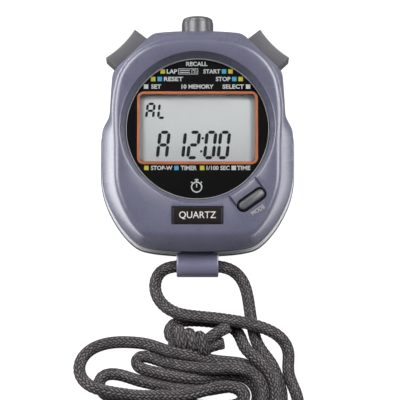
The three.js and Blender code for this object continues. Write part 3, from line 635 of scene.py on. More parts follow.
def settle(routes, radius, rounds=700, step=2.0):
    """Let the routes sink onto the floor and onto each other until no two stretches share a place."""
    runs = [smooth_run(route, step) for route in routes]
    first = np.cumsum([0] + [len(run) for run in runs])
    x = np.vstack(runs)
    home = x.copy()
    owner = np.concatenate([np.full(len(run), i) for i, run in enumerate(runs)])
    rest = [np.linalg.norm(np.diff(run, axis=0), axis=1).mean() for run in runs]
    free = np.ones(len(x))
    for i, (from_start, from_end) in enumerate(HELD):
        reach = np.arange(len(runs[i])) * rest[i]
        free[first[i]:first[i + 1]] = (np.clip((reach - from_start) / RELEASE, 0, 1)
                                       * np.clip((reach[-1] - reach - from_end) / RELEASE, 0, 1))
    a_all, b_all = np.triu_indices(len(x), 1)
    steps_apart = np.where(owner[a_all] == owner[b_all], b_all - a_all, 99)
    a_all, b_all, steps_apart = (pairs[steps_apart > 1] for pairs in (a_all, b_all, steps_apart))
    least = np.full(len(a_all), 2 * radius)
    for steps, share in TURN_LIMITS:
        least[steps_apart == steps] *= share
    for turn in range(rounds):
        ease = 1 - turn / rounds
        x[:, 2] -= SINK * free * ease
        x += (home - x) * np.array([HOMING, HOMING, 0]) * (0.3 + 0.7 * ease)
        for i in range(len(runs)):
            s, e = first[i], first[i + 1]
            middle = (x[s:e - 2] + x[s + 2:e]) / 2
            x[s + 1:e - 1] += (middle - x[s + 1:e - 1]) * STRAIGHTEN * free[s + 1:e - 1, None]
            for odd in (0, 1):
                a = np.arange(s + odd, e - 1, 2)
                gap = x[a + 1] - x[a]
                size = np.linalg.norm(gap, axis=1, keepdims=True)
                pull = gap / size * (size - rest[i]) * 0.5
                x[a] += pull * free[a, None]
                x[a + 1] -= pull * free[a + 1, None]
        gap = x[b_all] - x[a_all]
        size = np.linalg.norm(gap, axis=1)
        hit = size < least
        a, b, near = a_all[hit], b_all[hit], size[hit][:, None]
        push = gap[hit] / np.maximum(near, 1e-6) * (least[hit][:, None] - near) * 0.5
        move, share = np.zeros_like(x), np.zeros(len(x))
        np.add.at(move, a, -push)
        np.add.at(move, b, push)
        np.add.at(share, a, 1)
        np.add.at(share, b, 1)
        x += move / np.maximum(share, 1)[:, None] * free[:, None] * PART
        x[:, 2] = np.maximum(x[:, 2], radius + 0.02)
    return [x[s:e] for s, e in zip(first, first[1:])]


def ease_run(run, times):
    """Round off small kinks, and leave both ends where they are."""
    run = run.copy()
    for _ in range(times):
        run[1:-1] = (run[:-2] + 2 * run[1:-1] + run[2:]) / 4
    return run


def braid_height(u, v):
    """Height from 0 to 1 of the strand on top, for strand counts round the cord and along it."""
    right, left = u + v, u - v
    right_part, left_part = right % 1, left % 1
    phase = (np.floor(right) + np.floor(left)) % 4
    on_top = phase < 1.5
    across = np.where(on_top, right_part, left_part)
    along = np.where(on_top, phase + left_part, phase - 2 + right_part) / 2
    crown = 1 - np.abs(2 * across - 1) ** 2.6
    dip = 1 - np.abs(2 * along - 1) ** 3
    return crown * (0.35 + 0.65 * dip)


def braided_tube(name, run, diameter, sizes):
    """Closed tube of braid along a run of points, its strands as real relief and a strand count as UVs.

    Gives the mesh and the ring centres, both in metres."""
    curve = bpy.data.curves.new(name, 'CURVE')
    curve.dimensions = '3D'
    curve.bevel_depth = diameter / 2 * MM
    curve.bevel_resolution = 22
    spline = curve.splines.new('POLY')
    spline.points.add(len(run) - 1)
    spline.points.foreach_set("co", np.column_stack([run * MM, np.ones(len(run))]).ravel())
    source = bpy.data.objects.new(name, curve)
    bpy.context.scene.collection.objects.link(source)
    graph = bpy.context.evaluated_depsgraph_get()
    mesh = bpy.data.meshes.new_from_object(source.evaluated_get(graph))
    bpy.data.objects.remove(source)
    bpy.data.curves.remove(curve)
    mesh.name = name
    bm = bmesh.new()
    bm.from_mesh(mesh)
    bmesh.ops.remove_doubles(bm, verts=bm.verts, dist=1e-7)
    bm.verts.ensure_lookup_table()
    sides = round(len(bm.verts) / len(run))
    if sides * len(run) != len(bm.verts):
        raise RuntimeError(f"{name}: the tube's rings aren't even, {len(bm.verts)} points on {len(run)} rings")
    co = np.array([v.co for v in bm.verts]).reshape(len(run), sides, 3)
    centre = run[:, None, :] * MM
    reach = np.r_[0, np.cumsum(np.linalg.norm(np.diff(run, axis=0), axis=1))]
    count_round = np.arange(sides) / sides * sizes.strands
    count_along = reach / (sizes.cord_pitch / MM) * sizes.strands
    lift = braid_height(count_round[None, :] + np.zeros((len(run), 1)), count_along[:, None])
    grow = 1 + (lift - 0.75) * sizes.cord_relief / (diameter / 2 * MM)
    grow[[0, -1]] *= 0.8
    co = centre + (co - centre) * grow[:, :, None]
    for vert, place in zip(bm.verts, co.reshape(-1, 3)):
        vert.co = place
    for end in (bm.verts[:sides], bm.verts[-sides:]):
        bm.faces.new(end)
    layer = bm.loops.layers.uv.new("braid")
    for face in bm.faces:
        numbers = [loop.vert.index for loop in face.loops]
        around = [i % sides for i in numbers]
        wrap = max(around) - min(around) > sides / 2
        for loop, i, k in zip(face.loops, numbers, around):
            turn = k + sides if wrap and k < sides / 2 else k
            loop[layer].uv = (turn / sides * sizes.strands, count_along[i // sides])
    bmesh.ops.recalc_face_normals(bm, faces=bm.faces)
    bm.to_mesh(mesh)
    bm.free()
    return mesh, (run * MM).tolist()


def knot_run():
    """Wraps of the knot as a flattened helix."""
    turns = np.linspace(0, KNOT["turns"], KNOT["points"])
    angle = turns * 2 * math.pi + math.pi * KNOT["phase"]
    x = KNOT["start"] + (KNOT["end"] - KNOT["start"]) * turns / KNOT["turns"]
    y = KNOT["y"] + KNOT["wide"] * np.cos(angle) - KNOT["lean"] * (x - KNOT["start"])
    return np.column_stack([x, y, KNOT["z"] + KNOT["high"] * np.sin(angle)])


def make_cords(sizes, colours):
    """Lay the cord's two stretches, braid them and tie them in the knot."""
    braid = braid_material("cord_braid", colours.cord, colours.cord_fibre_highlight)
    diameter = sizes.cord_diameter / MM
    step = sizes.cord_ring / MM
    left, right = settle([LEFT_ROUTE, RIGHT_ROUTE], diameter / 2)
    knot_parts = [knot_run(), *[np.array(tail) for tail in TAILS]]
    knot_bm = bmesh.new()
    for i, part in enumerate(knot_parts):
        thick = KNOT["thick"] if i == 0 else diameter
        mesh, _ = braided_tube("part", smooth_run(part, step), thick, sizes)
        knot_bm.from_mesh(mesh)
        bpy.data.meshes.remove(mesh)
    knot_mesh = bpy.data.meshes.new("cord_knot_wraps")
    knot_bm.to_mesh(knot_mesh)
    knot_bm.free()
    knot = dress_piece(knot_mesh, "cord_knot_wraps", "case", "cord_braid", braid, sharp=80,
                       replaces=("cord_knot",))
    for name, run, mouth, nodes, pieces in (
        ("cord_left", left, -LUG_HALF, ("cord_left_lead", "cord_knot_lead", "cord_hank"), [knot]),
        ("cord_right", right, LUG_HALF, ("cord_right_lead",), []),
    ):
        eased = ease_run(smooth_run(ease_run(run, 2), 0.8), 8)
        mesh, path = braided_tube(name, smooth_run(eased, step), diameter, sizes)
        cord = dress_piece(mesh, name, "case", "cord_braid", braid, sharp=80, replaces=nodes)
        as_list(pieces)


# ---------------------------------------------------------------- case shells

def wall_tools():
    """Tools for the holes that both case shells share: three push buttons and the lug's tongue."""
    gap = 0.3
    tools = [tool(cylinder, TOP_R + gap, TOP_WALL - 5, TOP_WALL + 5, BUTTON_AXIS, sides=96)]
    half, high = SIDE_BASE / 2 + gap, BUTTON_HIGH / 2 + gap
    for side in (1, -1):
        tools.append(tool(block, (-half, half), (SIDE_WALL - 6, SIDE_WALL + 6),
                          (BUTTON_Z - high, BUTTON_Z + high), side_frame(side)))
    tongue = 5 + gap
    tools.append(tool(block, (-tongue, tongue), (LUG_NECK - 2, -37), (3.7, 9)))
    return tools


def make_front_case(sizes, colours):
    """Hollow front shell with its round recess, lens seat, pockets and screw bosses."""
    waist = case_outline(WAIST, sizes.outline_steps)
    crease = case_outline(CREASE, sizes.outline_steps)
    edge = sizes.edge / MM
    outer = [
        (waist, DRAFT + 0.25, SEAM_Z), (waist, DRAFT, SEAM_Z + 0.25), (waist, 0.14, SHADE_BAND_Z),
        (waist, 0.06, WIDEST_Z - 0.9), (waist, 0.02, WIDEST_Z - 0.3), (waist, 0.08, WIDEST_Z + 0.3),
        (waist, 0.4, WIDEST_Z + 1.1),
        (crease, -0.9, 17.3), (crease, -0.62, 17.62), (crease, -0.3, 17.92), (crease, 0.05, 18.16),
        (crease, 0.45, 18.34), (crease, 0.9, 18.45), (crease, 1.4, FACE_Z),
    ]
    rings = [at_height(inset(ring, step), z) for ring, step, z in outer]
    for step, z in ((edge, FACE_Z), (0.5 * edge, FACE_Z - 0.06), (0.12 * edge, FACE_Z - 0.3 * edge),
                    (-0.05, FACE_Z - edge)):
        rings.append(circle_like(crease, RECESS_R + step, z))
    rings += [circle_like(crease, SEAT_R, LENS_HIGH.z), circle_like(crease, SEAT_R, LEDGE_Z),
              circle_like(crease, LEDGE_R, LEDGE_Z), circle_like(crease, LEDGE_R, RING_Z)]
    roof = inset(crease, 1.4)
    ring_edge = [p.normalized() * min(RING_R, p.length - 0.3) for p in roof]
    rings += [at_height(ring_edge, RING_Z), at_height(ring_edge, ROOF_Z), at_height(roof, ROOF_Z),
              at_height(inset(waist, WALL), WIDEST_Z), at_height(inset(waist, DRAFT + WALL), SEAM_Z)]
    bm = bmesh.new()
    loft(bm, rings, closed=True)
    clean(bm)
    chamfer = sizes.pocket_edge / MM
    bosses = [tool(cylinder, 2.4, SEAM_Z, LEDGE_Z - 0.2 if y > 0 else 17, upright(x, y), sides=32)
              for x, y in CASE_SCREWS]
    cuts = [
        tool(flared_pocket, rounded_rectangle(LABEL_WIDTH + 1.2, LABEL_HEIGHT + 0.9, 0.45), 17.5, FACE_Z + 1,
             chamfer, upright(0, LABEL_Y)),
        tool(flared_pocket, stadium(*MODE_POCKET), ROOF_Z - 1, FACE_Z + 1, chamfer, MODE_FRAME),
        *[tool(flared_pocket, rounded_rectangle(0.6, 9, 0.2, 3), 17.3, FACE_Z + 1, 0.18,
               MODE_FRAME @ Matrix.Translation((side * (MODE_POCKET[0] / 2 - 0.25), 4.3, 0))) for side in (1, -1)],
        *[tool(cylinder, SCREW_HOLE_R, SEAM_Z - 1, 12.5, upright(x, y), sides=24) for x, y in CASE_SCREWS],
        *wall_tools(),
    ]
    bm = combine(bm, bosses, cuts)
    # outer wall faces below the band height get a matte near-black material: painted shade along the seam between
    # the shells
    for face in bm.faces:
        face.material_index = 1 if face.calc_center_median().z < SHADE_BAND_Z and abs(face.normal.z) < 0.3 else 0
    plastic = moulded_plastic("case_plastic", colours.case)
    band = moulded_plastic("case_band_painted_shade", colours.dial, 0.8, 0.02, 0.0, 3000)
    finish_piece(bm, "front_shell", "case", "case_plastic", plastic, band, sharp=28,
                 replaces=("front_case",))


def make_rear_case(sizes, colours):
    """Hollow rear shell with a rim, screw posts and sound holes; above the rim it is painted near white as the
    floor's reflection, below it a darker case colour that paints shade at the foot.
    """
    waist = case_outline(WAIST, sizes.outline_steps)
    flush = inset(waist, DRAFT)
    outside = [(3.4, 0), (2.4, 0.04), (1.9, 0.16), (1.45, 0.4), (1.1, 0.75), (0.8, 1.25), (0.55, 1.9),
               (0.45, 2.5)]
    rim = [(-RIM_OUT, FOOT_Z), (-RIM_OUT, RIM_Z - 0.25), (0.25 - RIM_OUT, RIM_Z), (DRAFT, RIM_Z + 0.04)]
    inside = [(DRAFT, REAR_TOP_Z - 0.25), (DRAFT + 0.25, REAR_TOP_Z), (DRAFT + WALL, REAR_TOP_Z),
              (DRAFT + WALL, 3), (2.9, 1.8)]
    rings = [at_height(inset(waist, step), z) for step, z in outside]
    for step, z in rim:
        ring = [a.lerp(b, min(1, max(0, (RIM_FADE[0] - a.y) / RIM_FADE[1])))
                for a, b in zip(flush, inset(waist, step))]
        rings.append(at_height(ring, z))
    rings += [at_height(inset(waist, step), z) for step, z in inside]
    bm = bmesh.new()
    loft(bm, rings, caps=True)
    clean(bm)
    posts = [tool(cylinder, 2.9, 0.5, REAR_TOP_Z, upright(x, y), sides=32) for x, y in CASE_SCREWS]
    holes = [tool(cylinder, SOUND_HOLE_R, -1, 3, upright(0, BUZZER_Y), sides=20)]
    for i in range(6):
        angle = i * math.pi / 3
        place = upright(SOUND_RING_R * math.cos(angle), BUZZER_Y + SOUND_RING_R * math.sin(angle))
        holes.append(tool(cylinder, SOUND_HOLE_R, -1, 3, place, sides=20))
    for x, y in CASE_SCREWS:
        holes.append(tool(cylinder, 2.45, -1, 0.15, upright(x, y), sides=48, top_radius=2.3))
        holes.append(tool(cylinder, 2.3, -1, 2.2, upright(x, y), sides=48))
        holes.append(tool(cylinder, SCREW_HOLE_R, 1, REAR_TOP_Z + 1, upright(x, y), sides=24))
    holes.append(tool(block, (-LUG_HALF - 0.1, LUG_HALF + 0.1), (LUG_NECK - 2, LUG_NECK + 0.05), (1.2, 8.8)))
    bm = combine(bm, posts, holes + wall_tools())
    # faces above the rim get the near-white colour, a painted reflection of the floor; faces below it get a darker
    # copy of the case colour, which paints shade at the foot
    for face in bm.faces:
        face.material_index = 0 if face.calc_center_median().z > RIM_Z - 0.02 else 1
    light = moulded_plastic("rear_rim_painted_reflection", colours.rear, 0.3)
    dark = moulded_plastic("rear_back_and_foot_shade", [c * 0.8 for c in colours.case], 0.5, 0.03, 0.2, 2600)
    finish_piece(bm, "rear_shell", "case", "case_plastic", light, dark, sharp=28, replaces=("rear_case",))


def make_lug(sizes, colours):
    """Hoop for the cord with rounded ends, on a tongue that goes through the case wall."""
    edge = 1.6 * sizes.edge / MM
    steps = 24
    hoop = []
    for i in range(steps + 1):
        angle = math.pi / 2 + i / steps * math.pi
        hoop.append(Vector((LUG_Y + LUG_OUTER * math.cos(angle), LUG_Z + LUG_OUTER * math.sin(angle))))
    hoop += [Vector((LUG_NECK, LUG_Z - LUG_OUTER + i * LUG_OUTER * 2 / steps)) for i in range(steps)]
    centre = Vector((LUG_Y, LUG_Z))
    hole = [centre + (p - centre).normalized() * LUG_HOLE for p in hoop]

    def ring(points, step, x):
        moved = [centre + (p - centre) * (1 - step / (p - centre).length) for p in points]
        return [Vector((x, p.x, p.y)) for p in moved]

    rounding = [(edge * (1 - math.sin(a)), LUG_HALF - edge * (1 - math.cos(a))) for a in
                (math.pi / 2, math.pi / 3, math.pi / 6, 0)]
    rings = [ring(hoop, step, x) for step, x in rounding] + [ring(hole, -step, x) for step, x in rounding[::-1]]
    rings += [ring(hole, -step, -x) for step, x in rounding] + [ring(hoop, step, -x) for step, x in rounding[::-1]]
    bm = bmesh.new()
    loft(bm, rings, closed=True)
    clean(bm)
    tongue = tool(block, (-5, 5), (LUG_NECK - 0.5, -37.7), (4, 8.7))
    flange = tool(block, (-6.5, 6.5), (-38.7, -37.6), (3.5, 10))
    bm = combine(bm, [tongue, flange])
    # the case colour lightened 1.6 times: painted light on the lug, which is of the case's plastic
    plastic = moulded_plastic("lug_plastic_painted_light", [c * 1.6 for c in colours.case], 0.25)
    finish_piece(bm, "lanyard_hoop", "case", "case_plastic", plastic, replaces=("lanyard_lug",))


# ---------------------------------------------------------------- push buttons

def add_stem(bm, joined, flange_in, bore_top, stem_top):
    """Join the flange, then bore it for its spring and stand the stem in the bore."""
    bore = tool(cylinder, BORE_R, flange_in - 1, bore_top, BUTTON_AXIS)
    stem = tool(cylinder, STEM_R, STEM_END, stem_top, BUTTON_AXIS, sides=32)
    return combine(combine(bm, [joined], [bore]), [stem])


def make_push_buttons(sizes, colours):
    plastic = moulded_plastic("button_plastic", colours.button, 0.33)
    flange_in = TOP_WALL - FLANGE_DEPTH
    flange_out = flange_in + FLANGE
    profile = [(0, TOP_TIP), (TOP_R - 1.7, TOP_TIP), (TOP_R - 1.0, TOP_TIP - 0.12), (TOP_R - 0.5, TOP_TIP - 0.42),
               (TOP_R - 0.22, TOP_TIP - 0.9), (TOP_R - 0.2, TOP_TIP - 1.5), (TOP_R, TOP_TIP - 1.75),
               (TOP_R, flange_out), (TOP_R, flange_in), (BORE_R, flange_in), (BORE_R, flange_in + 5),
               (STEM_R, flange_in + 5), (STEM_R, STEM_END), (0, STEM_END)]
    bm = bmesh.new()
    verts = [bm.verts.new((r, y, BUTTON_Z)) for r, y in profile]
    edges = [bm.edges.new(pair) for pair in zip(verts, verts[1:])]
    bmesh.ops.spin(bm, geom=verts + edges, cent=(0, 0, BUTTON_Z), axis=(0, 1, 0), angle=math.tau,
                   steps=sizes.round_steps, use_merge=True)
    clean(bm)
    ear = tool(block, (-6.6, 6.6), (flange_in, flange_out), (BUTTON_Z - 4.5, BUTTON_Z + 4.5))
    bm = add_stem(bm, ear, flange_in, flange_out + 0.5, flange_out + 1)
    finish_piece(bm, "top_push_button", "top_button", "button_plastic", plastic, replaces=("top_button",))
    for side, name in ((1, "right"), (-1, "left")):
        bm = side_button(side)
        bmesh.ops.transform(bm, matrix=side_frame(side), verts=bm.verts)
        finish_piece(bm, f"{name}_push_button", f"{name}_button", "button_plastic", plastic,
                     replaces=(f"{name}_button",))


def side_button(side):
    """Block with a hollowed outer face, on a flange and stem, pointing along +Y."""
    base, end, high = SIDE_BASE / 2, SIDE_END / 2, BUTTON_HIGH / 2
    steps = 24
    outline = []
    for i in range(steps + 1):
        hollow = SIDE_DISH * (1 - (2 * i / steps - 1) ** 2)
        outline.append((-end + 0.2 + (2 * end + 0.5) * i / steps, SIDE_TIP + 0.7 - hollow))
    outline += [(base, SIDE_WALL), (base, SIDE_WALL - 3), (-base, SIDE_WALL - 3), (-base, SIDE_WALL)]
    bm = bmesh.new()
    face = bm.faces.new([bm.verts.new((x, y, BUTTON_Z - high)) for x, y in outline])
    grown = bmesh.ops.extrude_face_region(bm, geom=[face])["geom"]
    bmesh.ops.translate(bm, vec=(0, 0, 2 * high), verts=[v for v in grown if isinstance(v, bmesh.types.BMVert)])
    clean(bm)
    bevel_sharp(bm, 0.35, 4)
    bmesh.ops.scale(bm, vec=(side, 1, 1), verts=bm.verts)
    bmesh.ops.recalc_face_normals(bm, faces=bm.faces)
    flange_in = SIDE_WALL - FLANGE_DEPTH
    flange = tool(block, (-8, 8), (flange_in, flange_in + FLANGE), (BUTTON_Z - high, BUTTON_Z + high))
    return add_stem(bm, flange, flange_in, flange_in + 5, flange_in + 5.5)


def make_mode_button(colours):
    """Mode button: a skirt on a flange and stem, painted near black as shade on the rubber button's sides, a cap
    painted a little lighter as its lit top, and the raised word beside it.
    """
    # near-black skirt: painted shade on the sides of the button
    skirt = Nodes("mode_skirt_painted_shade")
    grain = skirt.noise(4000, 2)
    skirt.shade(Base_Color=skirt.blend(grain, (0.006, 0.006, 0.008, 1), (0.014, 0.014, 0.018, 1)),
                Roughness=skirt.spread(grain, 0.6, 0.75), Normal=skirt.bump(grain, 0.02, 0.5))
    bm = bmesh.new()
    slab(bm, stadium(*MODE_BASE), MODE_FLANGE_Z, FACE_Z - 0.15, 0.5, MODE_FRAME)
    clean(bm)
    flange = tool(block, (-6.3, 6.3), (-1.9, 1.9), (MODE_FLANGE_Z, MODE_FLANGE_Z + 1), MODE_FRAME)
    stem = tool(cylinder, 1, MODE_STEM_END, MODE_FLANGE_Z + 0.3, MODE_FRAME, sides=32)
    bm = combine(bm, [flange, stem])
    finish_piece(bm, "mode_key_skirt", "mode_button", "button_plastic", skirt.material,
                 replaces=("mode_button",))
    bm = bmesh.new()
    slab(bm, stadium(*MODE_CAP), FACE_Z - 0.3, MODE_TOP_Z, 0.3, MODE_FRAME)
    clean(bm)
    # button colour lightened a little: painted light on the button's top
    plastic = moulded_plastic("mode_cap_painted_light", [c * 1.1 for c in colours.button], 0.36)
    finish_piece(bm, "mode_key_cap", "mode_button", "button_plastic", plastic)
    bm = bmesh.new()
    lettering = Matrix.Translation((20.1, -28.2, FACE_Z - 0.05)) @ Matrix.Rotation(0.58, 4, 'Z')
    add_text(bm, "MODE", (0, 0), 5.0, 1.5, 0.22, lettering)
    letters = moulded_plastic("mode_letter_plastic", [c * 0.4 for c in colours.white], 0.3)
    finish_piece(bm, "mode_lettering", "case", "case_plastic", letters)


# ---------------------------------------------------------------- dial, display, label

def add_text(bm, text, centre, width, height, thickness, matrix=Matrix(), weight=0.03):
    """Lettering fitted to a width and a height, as closed thin solids added to a drawing."""
    curve = bpy.data.curves.new("lettering", 'FONT')
    curve.body = text
    curve.size = 1
    curve.extrude = 0.5
    curve.offset = weight
    curve.resolution_u = 3
    source = bpy.data.objects.new("lettering", curve)
    bpy.context.scene.collection.objects.link(source)
    graph = bpy.context.evaluated_depsgraph_get()
    mesh = bpy.data.meshes.new_from_object(source.evaluated_get(graph))
    bpy.data.objects.remove(source)
    bpy.data.curves.remove(curve)
    co = np.array([v.co for v in mesh.vertices])
    low, high = co.min(0), co.max(0)
    size = high - low
    fit = Matrix.Diagonal((width / size[0], height / size[1], thickness / size[2], 1))
    shift = Matrix.Translation((-(low[0] + high[0]) / 2, -(low[1] + high[1]) / 2, -low[2]))
    mesh.transform(matrix @ Matrix.Translation((*centre, 0)) @ fit @ shift)
    known = len(bm.verts)
    bm.from_mesh(mesh)
    bpy.data.meshes.remove(mesh)
    bm.verts.ensure_lookup_table()
    bmesh.ops.remove_doubles(bm, verts=bm.verts[known:], dist=1e-4)


def add_square(bm, x, y, size, low, thickness):
    half = size / 2
    block(bm, (x - half, x + half), (y - half, y + half), (low, low + thickness))


PRINT_LINES = (
    ("RECALL", -0.25, 22.4, 7.2), ("LAP", -8.6, 19.8, 3.5), ("START", 4.8, 19.8, 5.7),
    ("RESET", -8.1, 17.2, 6.4), ("STOP", 8.6, 17.2, 4.9), ("SET", -13.9, 14.6, 3.4),
    ("10 MEMORY", 0, 14.6, 10.8), ("SELECT", 12, 14.6, 7.2), ("STOP-W", -12, -13.2, 7.2),
    ("TIMER", -2.9, -13.2, 5.4), ("1/100 SEC", 6.9, -13.2, 7.8), ("TIME", 15.4, -13.2, 4.5),
)
YELLOW_SQUARES = ((-11.7, 19.8), (11.1, 19.8), (-14.9, 17.2), (14.5, 17.2), (-17.1, -13.2), (1.55, -13.2))
BLUE_SQUARES = ((8.9, 19.8), (-12.7, 17.2), (12.35, 17.2), (-7.05, -13.2))
WHITE_SQUARES = ((-17.3, 14.6), (17, 14.6), (12.1, -13.2))


def add_ring_print(bm, centre, outer, inner, low, thickness):
    """Flat printed ring."""
    sides = 40
    turn = [Vector((math.cos(i * math.tau / sides), math.sin(i * math.tau / sides), 0)) for i in range(sides)]
    middle = Vector((*centre, 0))
    levels = ((outer, low), (outer, low + thickness), (inner, low + thickness), (inner, low))
    loft(bm, [[middle + t * radius + Vector((0, 0, z)) for t in turn] for radius, z in levels], closed=True)


def add_memory_icon(bm, low, thickness):
    """Small outlined strip with bars in it, beside the lap lettering."""
    frame_bars = (((-6.5, 0.2), (20.6, 20.8)), ((-6.5, 0.2), (18.8, 19.0)), ((-6.5, -6.3), (18.8, 20.8)),
                  ((0, 0.2), (18.8, 20.8)), ((-6.0, -2.6), (20.0, 20.25)), ((-6.0, -2.6), (19.35, 19.6)),
                  ((-2.0, -1.8), (19.2, 20.4)), ((-1.2, -1.0), (19.2, 20.4)), ((-2.0, -0.5), (20.2, 20.4)),
                  ((-0.6, -0.4), (19.2, 20.0)))
    for x, y in frame_bars:
        block(bm, x, y, (low, low + thickness))


def add_stopwatch_glyph(bm, low, thickness):
    """Outline of a small stopwatch: a ring, a hand, a button and two ears."""
    x, y, radius = -0.3, -19.7, 1.9
    high = (low, low + thickness)
    add_ring_print(bm, (x, y), radius, radius - 0.42, low, thickness)
    block(bm, (x - 0.17, x + 0.17), (y - 0.1, y + 1.15), high)
    block(bm, (x - 0.25, x + 0.25), (y + radius, y + radius + 0.35), high)
    block(bm, (x - 0.62, x + 0.62), (y + radius + 0.35, y + radius + 0.8), high)
    for side in (1, -1):
        ear = Matrix.Translation((x, y, 0)) @ Matrix.Rotation(-side * math.pi / 4, 4, 'Z')
        block(bm, (-0.24, 0.24), (radius + 0.12, radius + 0.6), high, ear)


def make_dial(sizes, colours):
    """Dial plate with its window, its white, yellow and blue printing, and the display border."""
    window = [p + Vector((0, WINDOW["y"])) for p in
              rounded_rectangle(WINDOW["width"], WINDOW["height"], WINDOW["corner"], 8, 40)]
    disc = circle_like(window, LENS_R, 0)
    rings = [at_height(points, z) for points, z in (
        ([p * ((LENS_R - 0.1) / LENS_R) for p in disc], DIAL_Z), (disc, DIAL_Z - 0.1), (disc, DIAL_LOW.z),
        (window, DIAL_LOW.z), (window, DIAL_Z - 0.1), (inset(window, -0.1), DIAL_Z))]
    bm = bmesh.new()
    loft(bm, rings, closed=True)
    clean(bm)
    gloss = moulded_plastic("dial_black", colours.dial, 0.22, 0.003, 0.4, 2600)
    finish_piece(bm, "dial_face", "case", "dial_black", gloss, replaces=("dial_plate",))

    thickness = sizes.print_thickness / MM
    low = DIAL_Z + 0.015
    square = sizes.square / MM
    bm = bmesh.new()
    for text, x, y, width in PRINT_LINES:
        add_text(bm, text, (x, y), width, sizes.print_height / MM, thickness, Matrix.Translation((0, 0, low)))
    for x, y in WHITE_SQUARES:
        add_square(bm, x, y, square, low, thickness)
    add_memory_icon(bm, low, thickness)
    add_stopwatch_glyph(bm, low, thickness)
    bmesh.ops.recalc_face_normals(bm, faces=bm.faces)
    finish_piece(bm, "dial_print_white", "case", "dial_black", printed_ink("white_ink", colours.white))
    for name, rgb, squares in (("yellow", colours.yellow, YELLOW_SQUARES), ("blue", colours.cyan, BLUE_SQUARES)):
        bm = bmesh.new()
        for x, y in squares:
            add_square(bm, x, y, square, low, thickness)
        finish_piece(bm, f"dial_print_{name}", "case", "dial_black", printed_ink(f"{name}_ink", rgb))
    make_display_border(colours)


def make_display_border(colours):
    """Raised coloured border round the window, crowned in the middle of its band."""
    steps = ((0, 0), (0.12, 0.07), (0.32, 0.11), (0.63, 0.11), (0.83, 0.07), (0.95, 0))
    outline = [p + Vector((0, WINDOW["y"])) for p in
               rounded_rectangle(BORDER["width"], BORDER["height"], BORDER["corner"], 12)]
    rings = [at_height(inset(outline, step), DIAL_Z + 0.01 + high) for step, high in steps]
    bm = bmesh.new()
    loft(bm, rings, closed=True)
    clean(bm)
    n = Nodes("border_paint")
    grain = n.noise(5000, 2)
    cloud = n.noise(160, 3)
    tint = n.blend(n.spread(cloud, 0, 1), scaled(colours.border, 0.86), scaled(colours.border, 1.1))
    n.shade(Base_Color=tint, Roughness=n.spread(grain, 0.3, 0.4), Normal=n.bump(grain, 0.006, 0.5))
    finish_piece(bm, "display_border", "case", "dial_black", n.material)


SEGMENTS = {
    "a": ((0, 1), (1, 1)), "b": ((1, 1), (1, 0.5)), "c": ((1, 0.5), (1, 0)), "d": ((0, 0), (1, 0)),
    "e": ((0, 0.5), (0, 0)), "f": ((0, 1), (0, 0.5)), "g": ((0, 0.5), (1, 0.5)),
}
GLYPHS = {"A": "abcefg", "L": "def", "0": "abcdef", "1": "bc", "2": "abdeg"}
SLANT = 0.11


def add_segment(bm, start, end, width, low, thickness, place):
    """One display stroke: a bar with pointed ends."""
    along = (end - start).normalized()
    side = Vector((-along.y, along.x)) * width / 2
    trim = along * (width * 0.16)
    tip = along * (width / 2)
    a, b = start + trim, end - trim
    outline = [a, a + tip - side, b - tip - side, b, b - tip + side, a + tip + side]
    loft(bm, [[place(p, z) for p in outline] for z in (low, low + thickness)], caps=True)


def add_glyph(bm, letter, x, y, width, height, stroke, low, thickness):
    """A display character whose lower left corner is at x, y, leaning to the right."""
    def place(p, z):
        return Vector((x + p.x + p.y * SLANT, y + p.y, z))
    half = stroke / 2
    for name in GLYPHS[letter]:
        start, end = [Vector((half + px * (width - stroke), half + py * (height - stroke)))
                      for px, py in SEGMENTS[name]]
        add_segment(bm, start, end, stroke, low, thickness, place)


DISPLAY_CHARACTERS = (
    ("A", -17.7, 4, 3.1, 5.6), ("L", -13.7, 4, 3, 5.6),
    ("A", -14.1, -9.8, 4.1, 9.8), ("1", -8.4, -9.8, 3.9, 9.8), ("2", -3.9, -9.8, 4.1, 9.8),
    ("0", 1.7, -9.8, 4, 9.8), ("0", 6.3, -9.8, 4, 9.8),
)
COLON = ((0.95, -2.6), (0.95, -7.1))
SMALL_HEIGHT, SMALL_STROKE = 6, 0.75


def make_display(sizes, colours):
    """Display panel with its characters standing just above it."""
    bm = bmesh.new()
    block(bm, (LCD_LOW.x, LCD_HIGH.x), (LCD_LOW.y, LCD_HIGH.y), (LCD_LOW.z, LCD_HIGH.z))
    bevel_sharp(bm, 0.15, 2)
    n = Nodes("display_glass")
    cloud = n.noise(45, 2)
    fine = n.noise(6500, 2)
    tint = n.blend(n.spread(cloud, 0, 1), scaled(colours.display, 0.97), scaled(colours.display, 1.03))
    n.shade(Base_Color=tint, Roughness=n.spread(fine, 0.25, 0.34), Normal=n.bump(fine, 0.004, 0.4))
    finish_piece(bm, "display_panel", "case", "display_glass", n.material, replaces=("lcd_panel",))
    ink = Nodes("display_segments")
    grain = ink.noise(3000, 2)
    ink.shade(Base_Color=ink.blend(ink.spread(grain, 0, 1), scaled(colours.segments, 0.85),
                                   scaled(colours.segments, 1.2)),
              Roughness=ink.spread(grain, 0.3, 0.4))
    low, thickness = LCD_HIGH.z + 0.02, 0.05
    stroke = sizes.segment / MM
    bm = bmesh.new()
    for letter, x, y, width, height in DISPLAY_CHARACTERS:
        share = SMALL_STROKE if height < SMALL_HEIGHT else 1
        add_glyph(bm, letter, x, y, width, height, stroke * share, low, thickness)
    for x, y in COLON:
        add_square(bm, x + (y + 9.8) * SLANT, y, 0.75, low, thickness)
    bmesh.ops.recalc_face_normals(bm, faces=bm.faces)
    finish_piece(bm, "display_characters", "case", "display_glass", ink.material)


